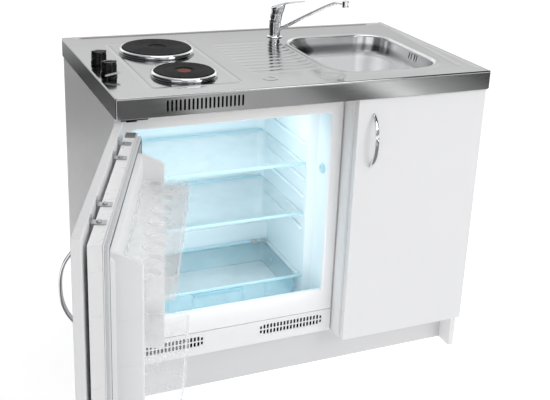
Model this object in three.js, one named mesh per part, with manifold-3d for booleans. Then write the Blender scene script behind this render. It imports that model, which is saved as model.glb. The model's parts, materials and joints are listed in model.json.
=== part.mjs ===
// Kitchenette unit: pressed steel worktop with sink, drainer and two hotplates, over a
// built-in refrigerator (left) and a cupboard (right), on a melamine board carcass.
// Millimetres, +Z up. x = 0 is the middle of the width, y = 0 the middle of the plinth
// board's thickness, z = 0 the floor. The front looks towards -Y.
import * as THREE from 'three';
import { mergeVertices } from 'three/addons/utils/BufferGeometryUtils.js';
import Module from 'manifold-3d';

const wasm = await Module();
wasm.setup();

// ---- driving dimensions -------------------------------------------------------------
const GAP = 0.3;                 // clearance kept between pieces that touch
const TOP_W = 1000;              // worktop width
const TOP_Y0 = -90, TOP_Y1 = 510; // worktop front and back edge
const TOP_Z = 840;               // working height
const APRON = 51;                // depth of the turned-down edge
const SHEET = 1.5;               // steel sheet, with its folded edge
const CORE = 19.7;               // chipboard under the sheet
const BOARD = 16;                // carcass board
const FRONT_BOARD = 17.5;        // door and fridge front
const PANEL_FRONT = -62;         // front edge of the carcass boards
const PANEL_BACK = 480;
const DOOR_Y0 = -80, DOOR_Y1 = DOOR_Y0 + FRONT_BOARD;
const DOOR_Z0 = 100, DOOR_Z1 = 786;
const PARTITION_X = 112;         // left face of the partition
const SPLIT_X = 117;             // middle of the gap between the two fronts
const FRIDGE = { x0: -481.5, x1: 109.2, y0: -17, y1: 458, z0: 20, z1: 784 };
const FRAME_Y = -18;             // front plane of the fridge body
const BIN = { x0: -420, x1: 42, y0: -12.5 };  // door bins, between the raised sides of the door liner
const MOUTH = { x0: -447, x1: 78, z0: 230, z1: 738 };
const CAVITY = { x0: -423, x1: 54, y1: 380, step: 62, floor: 172, lip: -2, humpY: 318, humpZ: 300 };
const SHELF_UP_Z = 570, SHELF_LOW_Z = 425, COVER_Z = 242;
const DOOR_OPEN = 110.8;         // degrees, how far the fridge door stands open
const HINGE_X = 500, HINGE_Y = -81; // both fronts turn about the corner of their board
const BOWL = { x0: 94, x1: 405, y0: -9, y1: 370, r: 80, z0: 797 };      // shallow upper dish
const WELL = { x0: 132, x1: 396, y0: -1, y1: 363, r: 80, z0: 700 };      // the bowl below it
const DRAIN = { x: 243, y: 181 };
const PLATE_REAR = { x: -292, y: 303, r: 91 };
const PLATE_FRONT = { x: -293, y: 64, r: 74 };
const KNOBS = [{ n: 'rear', x: -466, y: 213 }, { n: 'front', x: -466, y: 109 }];
const LAMP = { x: -468, y: 71 };
const TAP = { x: 85, y: 396, r: 13.5 };
const SPOUT_ANGLE = -36;         // where the spout points, from +X towards -Y
const HANDLE = { inset: 44.5, z0: 600, z1: 747, w: 11, out: 29 };

// ---- materials ----------------------------------------------------------------------
const M = (color, roughness, metalness = 0, extra = {}) =>
  new THREE.MeshStandardMaterial({ color, roughness, metalness, ...extra });
const steel = () => M(0xc4c5c6, 0.28, 1);
const chrome = () => M(0xe4e6e8, 0.08, 1);
const zinc = () => M(0xa9abad, 0.4, 1);
const whiteBoard = () => M(0xeeeeef, 0.45);
const rawBoard = () => M(0xc9a877, 0.8);
const whitePaint = () => M(0xf0f0ef, 0.35, 0.1);
const whitePlastic = () => M(0xe9f0f2, 0.4);
const icePlastic = () => M(0xd6eaf0, 0.2, 0, { transparent: true, opacity: 0.45 });
const glass = () => M(0xcfe6ec, 0.05, 0, { transparent: true, opacity: 0.35 });
const blackIron = () => M(0x1c1c1d, 0.6, 0.4);
const blackPlastic = () => M(0x1a1a1b, 0.35);
const greyPlastic = () => M(0xc9cdd0, 0.5);

// ---- geometry helpers ---------------------------------------------------------------
function toSolid(geometry) {
  let g = geometry.clone();
  for (const a of Object.keys(g.attributes)) if (a !== 'position') g.deleteAttribute(a);
  g.clearGroups();
  g = mergeVertices(g, 1e-4);
  const p = g.attributes.position, idx = g.index.array, tri = [];
  let volume = 0;
  const a = new THREE.Vector3(), b = new THREE.Vector3(), c = new THREE.Vector3();
  for (let i = 0; i < idx.length; i += 3) {
    const [u, v, w] = [idx[i], idx[i + 1], idx[i + 2]];
    if (u === v || v === w || u === w) continue;
    tri.push(u, v, w);
    a.fromBufferAttribute(p, u); b.fromBufferAttribute(p, v); c.fromBufferAttribute(p, w);
    volume += a.dot(b.cross(c));
  }
  if (volume < 0) for (let i = 0; i < tri.length; i += 3) [tri[i + 1], tri[i + 2]] = [tri[i + 2], tri[i + 1]];
  return new wasm.Manifold(new wasm.Mesh({
    numProp: 3, vertProperties: new Float32Array(p.array), triVerts: new Uint32Array(tri),
  }));
}
const solid = (s) => (s.isBufferGeometry ? toSolid(s) : s);
const join = (first, ...rest) => rest.reduce((s, r) => s.add(solid(r)), solid(first));
const cut = (first, ...rest) => rest.reduce((s, r) => s.subtract(solid(r)), solid(first));
const keep = (first, second) => solid(first).intersect(solid(second));
function toGeometry(s) {
  const m = solid(s).getMesh(), g = new THREE.BufferGeometry();
  const n = m.numProp, count = m.vertProperties.length / n, pos = new Float32Array(count * 3);
  for (let i = 0; i < count; i++) for (let k = 0; k < 3; k++) pos[i * 3 + k] = m.vertProperties[i * n + k];
  g.setAttribute('position', new THREE.BufferAttribute(pos, 3));
  g.setIndex(new THREE.BufferAttribute(new Uint32Array(m.triVerts), 1));
  g.computeVertexNormals();
  return g;
}
function box(x0, x1, y0, y1, z0, z1) {
  const g = new THREE.BoxGeometry(x1 - x0, y1 - y0, z1 - z0);
  g.translate((x0 + x1) / 2, (y0 + y1) / 2, (z0 + z1) / 2);
  return g;
}
function roundRect(x0, x1, y0, y1, r) {
  const s = new THREE.Shape();
  s.moveTo(x0 + r, y0);
  s.lineTo(x1 - r, y0);
  s.absarc(x1 - r, y0 + r, r, -Math.PI / 2, 0, false);
  s.lineTo(x1, y1 - r);
  s.absarc(x1 - r, y1 - r, r, 0, Math.PI / 2, false);
  s.lineTo(x0 + r, y1);
  s.absarc(x0 + r, y1 - r, r, Math.PI / 2, Math.PI, false);
  s.lineTo(x0, y0 + r);
  s.absarc(x0 + r, y0 + r, r, Math.PI, Math.PI * 1.5, false);
  return s;
}
function prism(shape, z0, z1, seg = 7, bevel = 0) {
  const g = new THREE.ExtrudeGeometry(shape, bevel
    ? { depth: z1 - z0 - 2 * bevel, curveSegments: seg, bevelEnabled: true, bevelThickness: bevel, bevelSize: bevel, bevelOffset: -bevel, bevelSegments: 3 }
    : { depth: z1 - z0, curveSegments: seg, bevelEnabled: false });
  g.translate(0, 0, z0 + bevel);
  return g;
}
const outline = (pts) => new THREE.Shape(pts.map(([x, y]) => new THREE.Vector2(x, y)));
// outline given in (y, z), pushed along x
function prismX(pts, x0, x1) {
  const g = prism(outline(pts), x0, x1);
  g.applyMatrix4(new THREE.Matrix4().set(0, 0, 1, 0, 1, 0, 0, 0, 0, 1, 0, 0, 0, 0, 0, 1));
  return g;
}
function cyl(x, y, z0, z1, r, seg = 24, rTop = r) {
  const g = new THREE.CylinderGeometry(rTop, r, z1 - z0, seg);
  g.rotateX(Math.PI / 2);
  g.translate(x, y, (z0 + z1) / 2);
  return g;
}
function cylX(x0, x1, y, z, r, seg = 20, r1 = r) {
  const g = new THREE.CylinderGeometry(r1, r, x1 - x0, seg);
  g.rotateZ(-Math.PI / 2);
  g.translate((x0 + x1) / 2, y, z);
  return g;
}
function cylY(x, z, y0, y1, r, seg = 20) {
  const g = new THREE.CylinderGeometry(r, r, y1 - y0, seg);
  g.translate(x, (y0 + y1) / 2, z);
  return g;
}
function lathe(profile, x, y, seg = 32) {
  const g = new THREE.LatheGeometry(profile.map(([r, z]) => new THREE.Vector2(r, z)), seg);
  g.rotateX(Math.PI / 2);
  g.translate(x, y, 0);
  return g;
}
class Bend extends THREE.Curve {
  constructor(points) { super(); this.c = new THREE.CatmullRomCurve3(points, false, 'centripetal'); }
  getPoint(t, target = new THREE.Vector3()) { return this.c.getPoint(t, target); }
}
function tube(points, r, steps, sides = 10) {
  const s = new THREE.Shape();
  s.absarc(0, 0, r, 0, Math.PI * 2, false);
  return new THREE.ExtrudeGeometry(s, {
    steps, curveSegments: sides / 2, bevelEnabled: false, extrudePath: new Bend(points),
  });
}
const v3 = (x, y, z) => new THREE.Vector3(x, y, z);

const unit = new THREE.Group();
const carcass = new THREE.Group(), fridge = new THREE.Group(), hob = new THREE.Group(), sink = new THREE.Group();
unit.add(carcass, fridge, hob, sink);
function add(group, name, shape, material) {
  const mesh = new THREE.Mesh(toGeometry(shape), material);
  mesh.name = name;
  group.add(mesh);
  return mesh;
}

// ---- worktop ------------------------------------------------------------------------
const half = TOP_W / 2, apronZ = TOP_Z - APRON, underSheet = TOP_Z - SHEET;
{
  const slots = [];
  for (let i = 0; i < 19; i++) {
    const x = -380.5 + i * 10.15;
    slots.push(box(x - 2.6, x + 2.6, TOP_Y0 - 1, TOP_Y0 + 3, 801, 828));
  }
  add(carcass, 'worktop_sheet', cut(
    box(-half, half, TOP_Y0, TOP_Y1, apronZ, TOP_Z),
    box(-half + SHEET, half - SHEET, TOP_Y0 + SHEET, TOP_Y1 - SHEET, apronZ - 1, underSheet),
    prism(roundRect(BOWL.x0, BOWL.x1, BOWL.y0, BOWL.y1, BOWL.r), underSheet - 1, TOP_Z + 1),
    cyl(TAP.x, TAP.y, underSheet - 1, TOP_Z + 1, 16),
    cyl(PLATE_REAR.x, PLATE_REAR.y, underSheet - 1, TOP_Z + 1, PLATE_REAR.r - 4, 28),
    cyl(PLATE_FRONT.x, PLATE_FRONT.y, underSheet - 1, TOP_Z + 1, PLATE_FRONT.r - 4, 28),
    ...KNOBS.map((k) => cyl(k.x, k.y, underSheet - 1, TOP_Z + 1, 4.5, 12)),
    cyl(LAMP.x, LAMP.y, underSheet - 1, TOP_Z + 1, 5.5, 12),
    ...slots,
  ), steel());
  const coreTop = underSheet - GAP, coreBottom = coreTop - CORE;
  add(carcass, 'worktop_core', cut(
    box(-half + SHEET + GAP, half - SHEET - GAP, TOP_Y0 + SHEET + GAP, TOP_Y1 - SHEET - GAP, coreBottom, coreTop),
    prism(roundRect(BOWL.x0 - 15, BOWL.x1 + 15, BOWL.y0 - 15, BOWL.y1 + 15, BOWL.r + 15), coreBottom - 1, coreTop + 1),
    cyl(TAP.x, TAP.y, coreBottom - 1, coreTop + 1, 19),
    box(-410, -192, -20, 412, coreBottom - 1, coreTop + 1),
    box(-482, -449, 55, 245, coreBottom - 1, coreTop + 1),
  ), rawBoard());
}
const underCore = underSheet - GAP - CORE - GAP;

// ---- sink ---------------------------------------------------------------------------
{
  const hollow = (d, dz) => join(
    prism(roundRect(BOWL.x0 - d, BOWL.x1 + d, BOWL.y0 - d, BOWL.y1 + d, BOWL.r + d), BOWL.z0 - dz, 960, 5, 28),
    prism(roundRect(WELL.x0 - d, WELL.x1 + d, WELL.y0 - d, WELL.y1 + d, WELL.r + d), WELL.z0 - dz, 920, 5, 34));
  const rimTop = underSheet - GAP;
  const shell = cut(
    join(keep(hollow(0.8, 1.6), box(0, 500, -100, 500, 600, rimTop)),
      prism(roundRect(BOWL.x0 - 12, BOWL.x1 + 12, BOWL.y0 - 12, BOWL.y1 + 12, BOWL.r + 12), rimTop - 1.5, rimTop, 5)),
    hollow(-0.8, 0),
    cyl(DRAIN.x, DRAIN.y, WELL.z0 - 5, WELL.z0 + 5, 30),
    ...[129.5, 140.5, 156.5, 169].map((y) => box(BOWL.x1 - 8, BOWL.x1 + 5, y - 2.2, y + 2.2, 814, 835)),
  );
  add(sink, 'sink_bowl', shell, steel());
  const holes = [];
  for (let i = 0; i < 8; i++) {
    const a = (i * Math.PI) / 4;
    holes.push(cyl(DRAIN.x + 17 * Math.cos(a), DRAIN.y + 17 * Math.sin(a), 655, 712, 4, 8));
  }
  add(sink, 'drain_flange', cut(
    lathe([[0, 690], [28, 690], [28, 700.3], [41, 700.3], [41, 702], [32, 702], [27, 697], [0, 697]], DRAIN.x, DRAIN.y, 28),
    ...holes), chrome());
  add(sink, 'bottle_trap', lathe([[0, 520], [26, 520], [31, 526], [31, 590], [27, 598], [27, 640], [34, 642], [34, 660], [20, 664], [20, 689.5], [0, 689.5]], DRAIN.x, DRAIN.y, 24), whitePlastic());
  add(sink, 'waste_pipe', tube([v3(DRAIN.x, DRAIN.y + 31.6, 575), v3(DRAIN.x, DRAIN.y + 90, 575), v3(DRAIN.x, 380, 573), v3(DRAIN.x, 500, 571)], 16, 6, 14), whitePlastic());
}
// single-lever mixer tap
{
  add(sink, 'tap_body', lathe([[0, 790], [14, 790], [14, TOP_Z + GAP], [22.5, TOP_Z + GAP], [22.5, 842.4], [20, 843.6], [16.2, 845], [16.2, 851.5], [TAP.r, 851.5], [TAP.r, 906], [0, 906]], TAP.x, TAP.y, 28), chrome());
  const spout = new THREE.Group();
  spout.position.set(TAP.x, TAP.y, 0);
  spout.rotation.z = THREE.MathUtils.degToRad(SPOUT_ANGLE);
  sink.add(spout);
  const collar = lathe([[TAP.r + GAP, 852], [16.3, 852], [17.7, 884], [TAP.r + GAP, 884], [TAP.r + GAP, 852]], 0, 0, 28);
  // the arm is flattened: 16 mm wide and 11.4 mm thick
  const arm = tube([v3(9, 0, 861.5), v3(30, 0, 873), v3(72, 0, 898.6), v3(129, 0, 931.5), v3(155, 0, 945.8), v3(172, 0, 952.4), v3(188, 0, 953.8), v3(200, 0, 953.8)], 5.7, 22, 12)
    .applyMatrix4(new THREE.Matrix4().makeScale(1, 1.4, 1));
  add(spout, 'tap_spout', join(collar, cut(arm, cyl(0, 0, 830, 960, TAP.r + GAP, 28)), cyl(201, 0, 943, 961, 10.3, 18)), chrome());
  const head = new THREE.Group();
  head.position.set(TAP.x, TAP.y, 0);
  head.rotation.z = THREE.MathUtils.degToRad(SPOUT_ANGLE + 10);
  sink.add(head);
  // the cap is a sleeve over the body that leans forward and has a slanted top with a slot for the lever
  const cone = toSolid(lathe([[0, 884.6], [17.8, 884.6], [17.8, 908], [18.6, 913], [20.6, 922], [20.6, 945], [0, 945]], 0, 0, 28)
    .applyMatrix4(new THREE.Matrix4().set(1, 0, 0.17, -0.17 * 884.6, 0, 1, 0, 0, 0, 0, 1, 0, 0, 0, 0, 1)));
  const upright = new THREE.Matrix4().set(1, 0, 0, 0, 0, 0, 1, 0, 0, 1, 0, 0, 0, 0, 0, 1);
  add(head, 'tap_cap', cut(cone,
    prism(outline([[-60, 911], [60, 949], [60, 990], [-60, 990]]), -40, 40).applyMatrix4(upright),
    cyl(0, 0, 880, 906.3, TAP.r + GAP, 28),
    box(-11, 50, -6.9, 6.9, 917, 960)), chrome());
  add(head, 'tap_lever', toSolid(prism(outline([[-8.5, 924], [-8.5, 927], [12, 934.4], [24, 939.2], [34, 942], [60, 945.4], [83.5, 948.4], [84, 945.6], [60, 942.3], [36, 938.4], [26, 934], [17, 924]]), -6.2, 6.2)
    .applyMatrix4(upright)), chrome());
}

// ---- hob ----------------------------------------------------------------------------
for (const [name, p] of [['rear', PLATE_REAR], ['front', PLATE_FRONT]]) {
  const R = p.r - GAP;
  add(hob, `hotplate_${name}`, lathe([[0, 824], [R - 8, 824], [R - 8, 841], [R, 841.5], [R, 851.5], [R - 2, 854], [26, 854], [24, 851.5], [0, 851.5]], p.x, p.y, 30), blackIron());
  add(hob, `hotplate_ring_${name}`, lathe([[p.r, TOP_Z + GAP], [p.r + 5, TOP_Z + GAP], [p.r + 8, 844.5], [p.r + 7.5, 847.5], [p.r + 2.5, 852], [p.r, 852], [p.r, TOP_Z + GAP]], p.x, p.y, 30), chrome());
}
for (const k of KNOBS) {
  add(hob, `hob_switch_${k.n}`, join(box(k.x - 14.5, k.x + 14.5, k.y - 24, k.y + 24, 790, 816), cyl(k.x, k.y, 815, 834, 8, 16), cyl(k.x, k.y, 833, 864, 3, 12)), greyPlastic());
  add(hob, `knob_${k.n}`, cut(
    join(lathe([[0, 841], [20, 841], [20, 848], [18.6, 849.5], [17.8, 872], [16.6, 873.5], [0, 873.5]], k.x, k.y, 24),
      box(k.x - 18.4, k.x + 18.4, k.y - 2.8, k.y + 2.8, 848, 875)),
    cyl(k.x, k.y, 840, 865, 3.3, 12)), blackPlastic());
}
add(hob, 'pilot_lamp', join(
  cyl(LAMP.x, LAMP.y, 826, TOP_Z + 1, 4.8, 12),
  cyl(LAMP.x, LAMP.y, TOP_Z + GAP, 847, 11.3, 20),
  toSolid(prism(outline([[-16, 846], [10, 848.5], [20, 853.5], [20, 856], [17, 857], [-14, 852], [-17, 849.5]]), -5, 5).applyMatrix4(
    new THREE.Matrix4().set(1, 0, 0, LAMP.x, 0, 0, 1, LAMP.y, 0, 1, 0, 0, 0, 0, 0, 1))),
), blackPlastic());

// ---- carcass ------------------------------------------------------------------------
const sideOut = half - SHEET - GAP, sideIn = sideOut - BOARD;
add(carcass, 'side_panel_left', box(-sideOut, -sideIn, PANEL_FRONT, 500, 0, underCore), whiteBoard());
add(carcass, 'side_panel_right', box(sideIn, sideOut, PANEL_FRONT, 500, 0, underCore), whiteBoard());
const plinthTop = 98;
add(carcass, 'partition_panel', prismX([[PANEL_FRONT, plinthTop + 2], [8.5, plinthTop + 2], [8.5, 0], [PANEL_BACK, 0], [PANEL_BACK, underCore], [402, underCore], [402, 793], [-32, 793], [-32, underCore], [PANEL_FRONT, underCore]], PARTITION_X, PARTITION_X + BOARD), whiteBoard());
const cupL = PARTITION_X + BOARD + GAP, cupR = sideIn - GAP;
add(carcass, 'cupboard_floor', box(cupL, cupR, PANEL_FRONT + 1, PANEL_BACK - GAP, 100.5, 116.5), whiteBoard());
add(carcass, 'plinth_board', box(-cupR, cupR, -8, 8, 0, plinthTop), whiteBoard());
add(carcass, 'rear_rail', box(-cupR, cupR, PANEL_BACK + 4, 500, 732, underCore), whiteBoard());
add(carcass, 'cupboard_back_panel', cut(box(PARTITION_X + 3, sideIn - GAP, PANEL_BACK + GAP, PANEL_BACK + 3.5, 0.5, underCore), cylY(DRAIN.x, 571.3, PANEL_BACK - 5, PANEL_BACK + 8, 20)), whiteBoard());

// ---- right-hand cupboard door ---------------------------------------------------------
function bowHandle(x) {
  const n = 10, outer = [], inner = [];
  const zc = (HANDLE.z0 + HANDLE.z1) / 2, hz = (HANDLE.z1 - HANDLE.z0) / 2;
  for (let i = 0; i <= n; i++) {
    const t = -1 + (2 * i) / n;
    outer.push([DOOR_Y0 - GAP - 0.5 - (HANDLE.out - 0.5) * Math.pow(Math.max(0, 1 - Math.pow(Math.abs(t), 2.4)), 0.8), zc + hz * t]);
    const u = t * 0.86;
    inner.push([DOOR_Y0 - GAP - 0.0 - (HANDLE.out - 5.5) * Math.pow(Math.max(0, 1 - Math.pow(Math.abs(t), 2.4)), 0.8), zc + hz * u]);
  }
  outer[0][0] = outer[n][0] = DOOR_Y0 - GAP;
  return prismX([...outer, ...inner.reverse()], x - HANDLE.w / 2, x + HANDLE.w / 2);
}
const doorL = SPLIT_X + 1.3, leftDoorR = SPLIT_X - 1.3;
const HINGE_Z = [690, 190];
{
  const door = new THREE.Group();
  door.position.set(HINGE_X, HINGE_Y, 0);
  const inner = new THREE.Group();
  inner.position.set(-HINGE_X, -HINGE_Y, 0);
  door.add(inner);
  unit.add(door);
  add(inner, 'cupboard_door', cut(box(doorL, 498, DOOR_Y0, DOOR_Y1, DOOR_Z0, DOOR_Z1), ...HINGE_Z.map((z) => cylY(475.5, z, -75, -60, 17.5))), whiteBoard());
  add(inner, 'handle_right', bowHandle(doorL + HANDLE.inset), chrome());
  HINGE_Z.forEach((z, i) => {
    add(inner, `hinge_cup_${i ? 'lower' : 'upper'}`, cut(cylY(475.5, z, -74.5, DOOR_Y1 - 0.3, 17.1), cylY(475.5, z, -70, -60, 13)), zinc());
    add(carcass, `hinge_arm_${i ? 'lower' : 'upper'}`, join(box(sideIn - 6, sideIn - GAP, 0, 40, z - 24, z + 24), box(sideIn - 20, sideIn - 5.5, -61, 34, z - 7, z + 7)), zinc());
  });
}

// ---- refrigerator body -----------------------------------------------------------------
{
  const F = FRIDGE, t = 1.2, C = CAVITY, m = MOUTH;
  add(fridge, 'fridge_casing', cut(
    box(F.x0, F.x1, F.y0, F.y1, F.z0, F.z1),
    box(F.x0 + t, F.x1 - t, F.y0 - 1, 430.5, F.z0 + t, F.z1 - t),
    box(F.x0 + t, F.x1 - t, 400, F.y1 + 1, F.z0 + t, 264),
    box(F.x0 + t, F.x1 - t, 432, F.y1 + 1, 266, F.z1 - t),
    box(F.x0 - 1, F.x1 + 1, F.y0 - 1, 12, F.z0 - 1, 99.5),
  ), whitePaint());
  const rooms = (d) => [
    box(m.x0 - d, m.x1 + d, FRAME_Y - (d ? 0 : 1), C.step + d, m.z0 - d, m.z1 + d),
    box(m.x0 - d, m.x1 + d, C.lip - d, C.step + d, C.floor - d, m.z1 + d),
    box(C.x0 - d, C.x1 + d, C.lip - d, C.humpY + d, C.floor - d, m.z1 + d),
    box(C.x0 - d, C.x1 + d, C.step, C.y1 + d, C.humpZ - d, m.z1 + d),
  ];
  const runner = (z) => [box(C.x0 - 1, C.x0 + 12, 84, 312, z - 7, z), box(C.x1 - 12, C.x1 + 1, 84, 312, z - 7, z)];
  const flange = box(F.x0 + t + GAP, F.x1 - t - GAP, FRAME_Y, FRAME_Y + 1.5, 168.5, F.z1 - t - GAP);
  add(fridge, 'fridge_liner', join(cut(join(flange, ...rooms(2)), ...rooms(0)), ...runner(SHELF_UP_Z - 4.3), ...runner(SHELF_LOW_Z - 4.3), ...runner(COVER_Z - 4.3)), whitePlastic());
  add(fridge, 'fridge_insulation', cut(
    box(F.x0 + t + GAP, F.x1 - t - GAP, FRAME_Y + 1.5 + GAP, 430.2, 137, F.z1 - t - GAP),
    ...rooms(2.3),
    box(F.x0, F.x1, 353, 440, 130, 264.3),
    box(F.x0, F.x1, FRAME_Y - 1, -8, 130, 168),
  ), M(0xe8dcae, 0.9));
  const slots = [];
  for (const x0 of [-454, -101]) for (const z of [125, 142]) for (let i = 0; i < 10; i++) slots.push(box(x0 + i * 18.6, x0 + i * 18.6 + 11, FRAME_Y - 1, FRAME_Y + 5, z, z + 13));
  add(fridge, 'fridge_base_panel', cut(box(F.x0 + t + GAP, F.x1 - t - GAP, FRAME_Y, FRAME_Y + 2.5, 101, 167.5), ...slots), whitePlastic());
  add(fridge, 'compressor', join(
    prism(roundRect(-90, 60, 362, 454, 44), 34, 190, 5, 18),
    box(-80, 50, 372, 444, 22, 40),
    box(-15, 15, 395, 425, 30, 60)), M(0x202124, 0.5, 0.3));
  const rows = [];
  for (let i = 0; i < 7; i++) {
    const z = 310 + i * 62, a = i % 2 ? 60 : -430, b = i % 2 ? -430 : 60, s = Math.sign(b - a);
    rows.push(v3(a, 445, z), v3(a + s * 12, 445, z), v3((a + b) / 2, 445, z), v3(b - s * 12, 445, z), v3(b, 445, z));
    if (i < 6) rows.push(v3(b + s * 18, 445, z + 31));
  }
  add(fridge, 'condenser', tube(rows, 3, 72, 8), M(0x1c1c1e, 0.5, 0.3));
  [-450, 78].forEach((x, i) => add(fridge, `fridge_foot_${i ? 'right' : 'left'}`, join(cyl(x, 42, 0, 7, 19, 20), cyl(x, 42, 6, F.z0 - GAP, 6, 12)), blackPlastic()));
  add(fridge, 'fridge_rear_runner', box(-470, 98, 415, 445, 0, F.z0 - GAP), blackPlastic());
  add(fridge, 'fridge_hinge_upper', join(box(-480, -412, -44, FRAME_Y - GAP, 770, 782.5), box(-468, -440, -53, -40, 769.5, 780)), blackPlastic());
  add(fridge, 'fridge_hinge_lower', join(box(-478, -428, -44, FRAME_Y - GAP, 157, 171), box(-462, -434, -50, -40, 160, 168)), blackPlastic());
  add(fridge, 'thermostat_knob', join(cylX(71.5, 77.7, 20, 572, 14), cylX(69.6, 72, 20, 572, 11)), whitePlastic());

  // shelves and vegetable drawer
  const gx0 = C.x0 + 2.5, gx1 = C.x1 - 2.5;
  const shelf = (z, y0, y1) => join(box(gx0, gx1, y0 + 4, y1, z - 4, z), box(gx0 + 1, gx1 - 1, y0, y0 + 6, z - 4, z + 4));
  add(fridge, 'shelf_upper', shelf(SHELF_UP_Z, 72, 372), glass());
  add(fridge, 'shelf_lower', shelf(SHELF_LOW_Z, 72, 372), glass());
  add(fridge, 'crisper_cover', shelf(COVER_Z, 60, 314), glass());
  add(fridge, 'crisper_drawer', join(
    cut(prism(roundRect(C.x0 + 14.5, C.x1 - 14.5, 66, 312, 16), C.floor + GAP, 236.5, 3), prism(roundRect(C.x0 + 17, C.x1 - 17, 68.5, 309.5, 14), C.floor + 3, 240, 3)),
    box(-262, -122, 59, 68, 224, 236.5)), icePlastic());
}

// ---- refrigerator door, drawn closed and then swung open --------------------------------
{
  const door = new THREE.Group();
  door.position.set(-HINGE_X, HINGE_Y, 0);
  door.rotation.z = THREE.MathUtils.degToRad(-DOOR_OPEN);
  const inner = new THREE.Group();
  inner.position.set(HINGE_X, -HINGE_Y, 0);
  door.add(inner);
  unit.add(door);
  const sx0 = -478, sx1 = 104, sz0 = 172.5, sz1 = 768;
  add(inner, 'front_panel_left', box(-498, leftDoorR, DOOR_Y0, DOOR_Y1, DOOR_Z0, DOOR_Z1), whiteBoard());
  add(inner, 'handle_left', bowHandle(leftDoorR - HANDLE.inset), chrome());
  add(inner, 'fridge_door_shell', cut(box(sx0, sx1, -55, -30, sz0, sz1), box(sx0 + 1.2, sx1 - 1.2, -53.8, -20, sz0 + 1.2, sz1 - 1.2)), whitePaint());
  const dyke = [[-28, 244], [34, 244], [34, 712], [28, 717], [-13, 735], [-28, 735]];
  add(inner, 'fridge_door_liner', join(
    box(sx0, sx1, -29.7, -27.7, sz0, sz1),
    box(-440, 62, -28, -13, 244, 732),
    prismX(dyke, -440, -431.5), prismX(dyke, 53.5, 62)), whitePlastic());
  add(inner, 'fridge_door_gasket', cut(box(-474, 100, -27.4, FRAME_Y - 0.4, 176.5, 764), box(-458, 84, -30, -10, 192.5, 748)), M(0xd9dcdd, 0.7));
  const tray = (z0, z1, y1, lip) => join(
    cut(prism(roundRect(BIN.x0, BIN.x1, BIN.y0, y1, 14), z0, z1, 3), prism(roundRect(BIN.x0 + 2.5, BIN.x1 - 2.5, BIN.y0 + 2.5, y1 - 2.5, 12), z0 + 2.5, z1 + 1, 3)),
    box(BIN.x0 + 10, BIN.x1 - 10, y1 - 1.5, y1 + 1.5, z1 - lip, z1),
    box(-431, BIN.x0 + 1, 4, 28, z1 - 26, z1 - 8), box(BIN.x1 - 1, 53, 4, 28, z1 - 26, z1 - 8));
  add(inner, 'door_bin_upper', tray(631, 680, 90, 6), icePlastic());
  add(inner, 'door_bin_lower', tray(247, 350, 92, 10), icePlastic());
  const eggs = [];
  for (let i = 0; i < 8; i++) eggs.push(cyl(-390.5 + i * 57.5, 38, 640, 690, 21, 12));
  add(inner, 'egg_tray', cut(join(prism(roundRect(-416.5, 38, -8, 85, 10), 668, 670.5, 3), box(-416.5, -414.5, 4, 74, 634, 669), box(36, 38, 4, 74, 634, 669)), ...eggs), icePlastic());
  [-400, -312, -68, 12].forEach((x, i) => {
    const y0 = DOOR_Y1 + GAP;
    add(inner, `front_bracket_${i + 1}`, join(box(x - 9, x + 9, y0, -34, sz1 + GAP, sz1 + 2.3), box(x - 9, x + 9, y0, y0 + 2, sz1 + GAP, sz1 + 14)), zinc());
  });
}

export default unit;
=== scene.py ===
import bpy
import bmesh
import json
import math
import numpy as np
from mathutils import Matrix, Vector
from mathutils.geometry import delaunay_2d_cdt


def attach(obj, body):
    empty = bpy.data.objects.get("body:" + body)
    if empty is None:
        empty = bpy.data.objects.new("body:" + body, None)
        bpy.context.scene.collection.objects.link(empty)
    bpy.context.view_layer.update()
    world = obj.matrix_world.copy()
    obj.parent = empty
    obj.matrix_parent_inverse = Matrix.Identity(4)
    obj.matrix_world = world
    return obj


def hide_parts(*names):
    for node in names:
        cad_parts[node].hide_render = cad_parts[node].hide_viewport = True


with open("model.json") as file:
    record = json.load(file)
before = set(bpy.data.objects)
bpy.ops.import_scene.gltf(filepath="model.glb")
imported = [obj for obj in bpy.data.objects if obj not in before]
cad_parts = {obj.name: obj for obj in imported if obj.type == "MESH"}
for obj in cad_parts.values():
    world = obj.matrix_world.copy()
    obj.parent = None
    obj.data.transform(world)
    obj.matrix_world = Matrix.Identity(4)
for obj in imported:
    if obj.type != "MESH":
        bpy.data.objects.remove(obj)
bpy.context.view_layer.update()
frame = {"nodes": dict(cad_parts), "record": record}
NODES = frame["nodes"]
RECORD = frame["record"]
BODY = {n: b for b, names in RECORD["behaviour"]["bodies"].items() for n in names}
SLOT = {s["node"]: s["material_slot"] for s in RECORD["subparts"]}
rng = np.random.default_rng(11)

# ------------------------------------------------------------------ camera
CAM_POS = (-0.9910, -2.1001, 1.4680)
CAM_AZ, CAM_EL, CAM_ROLL = -0.44578, 0.34296, 0.05321
CAM_F, CAM_SX, CAM_SY = 959.65, 30.0, -50.0
cam_data = bpy.data.cameras.new("photo_camera")
cam = bpy.data.objects.new("photo_camera", cam_data)
bpy.context.scene.collection.objects.link(cam)
bpy.context.scene.camera = cam
ca, sa, ce, se = math.cos(CAM_AZ), math.sin(CAM_AZ), math.cos(CAM_EL), math.sin(CAM_EL)
back = Vector((sa * ce, -ca * ce, se))
right = Vector((0, 0, 1)).cross(back).normalized()
up = back.cross(right)
cr, sr = math.cos(CAM_ROLL), math.sin(CAM_ROLL)
r2, u2 = cr * right + sr * up, -sr * right + cr * up
cam.matrix_world = Matrix(((r2.x, u2.x, back.x, CAM_POS[0]), (r2.y, u2.y, back.y, CAM_POS[1]),
                           (r2.z, u2.z, back.z, CAM_POS[2]), (0, 0, 0, 1)))
cam_data.sensor_fit = "HORIZONTAL"
cam_data.sensor_width = 36
cam_data.lens = CAM_F / 550 * 36
cam_data.shift_x = -CAM_SX / 550
cam_data.shift_y = CAM_SY / 550
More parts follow.
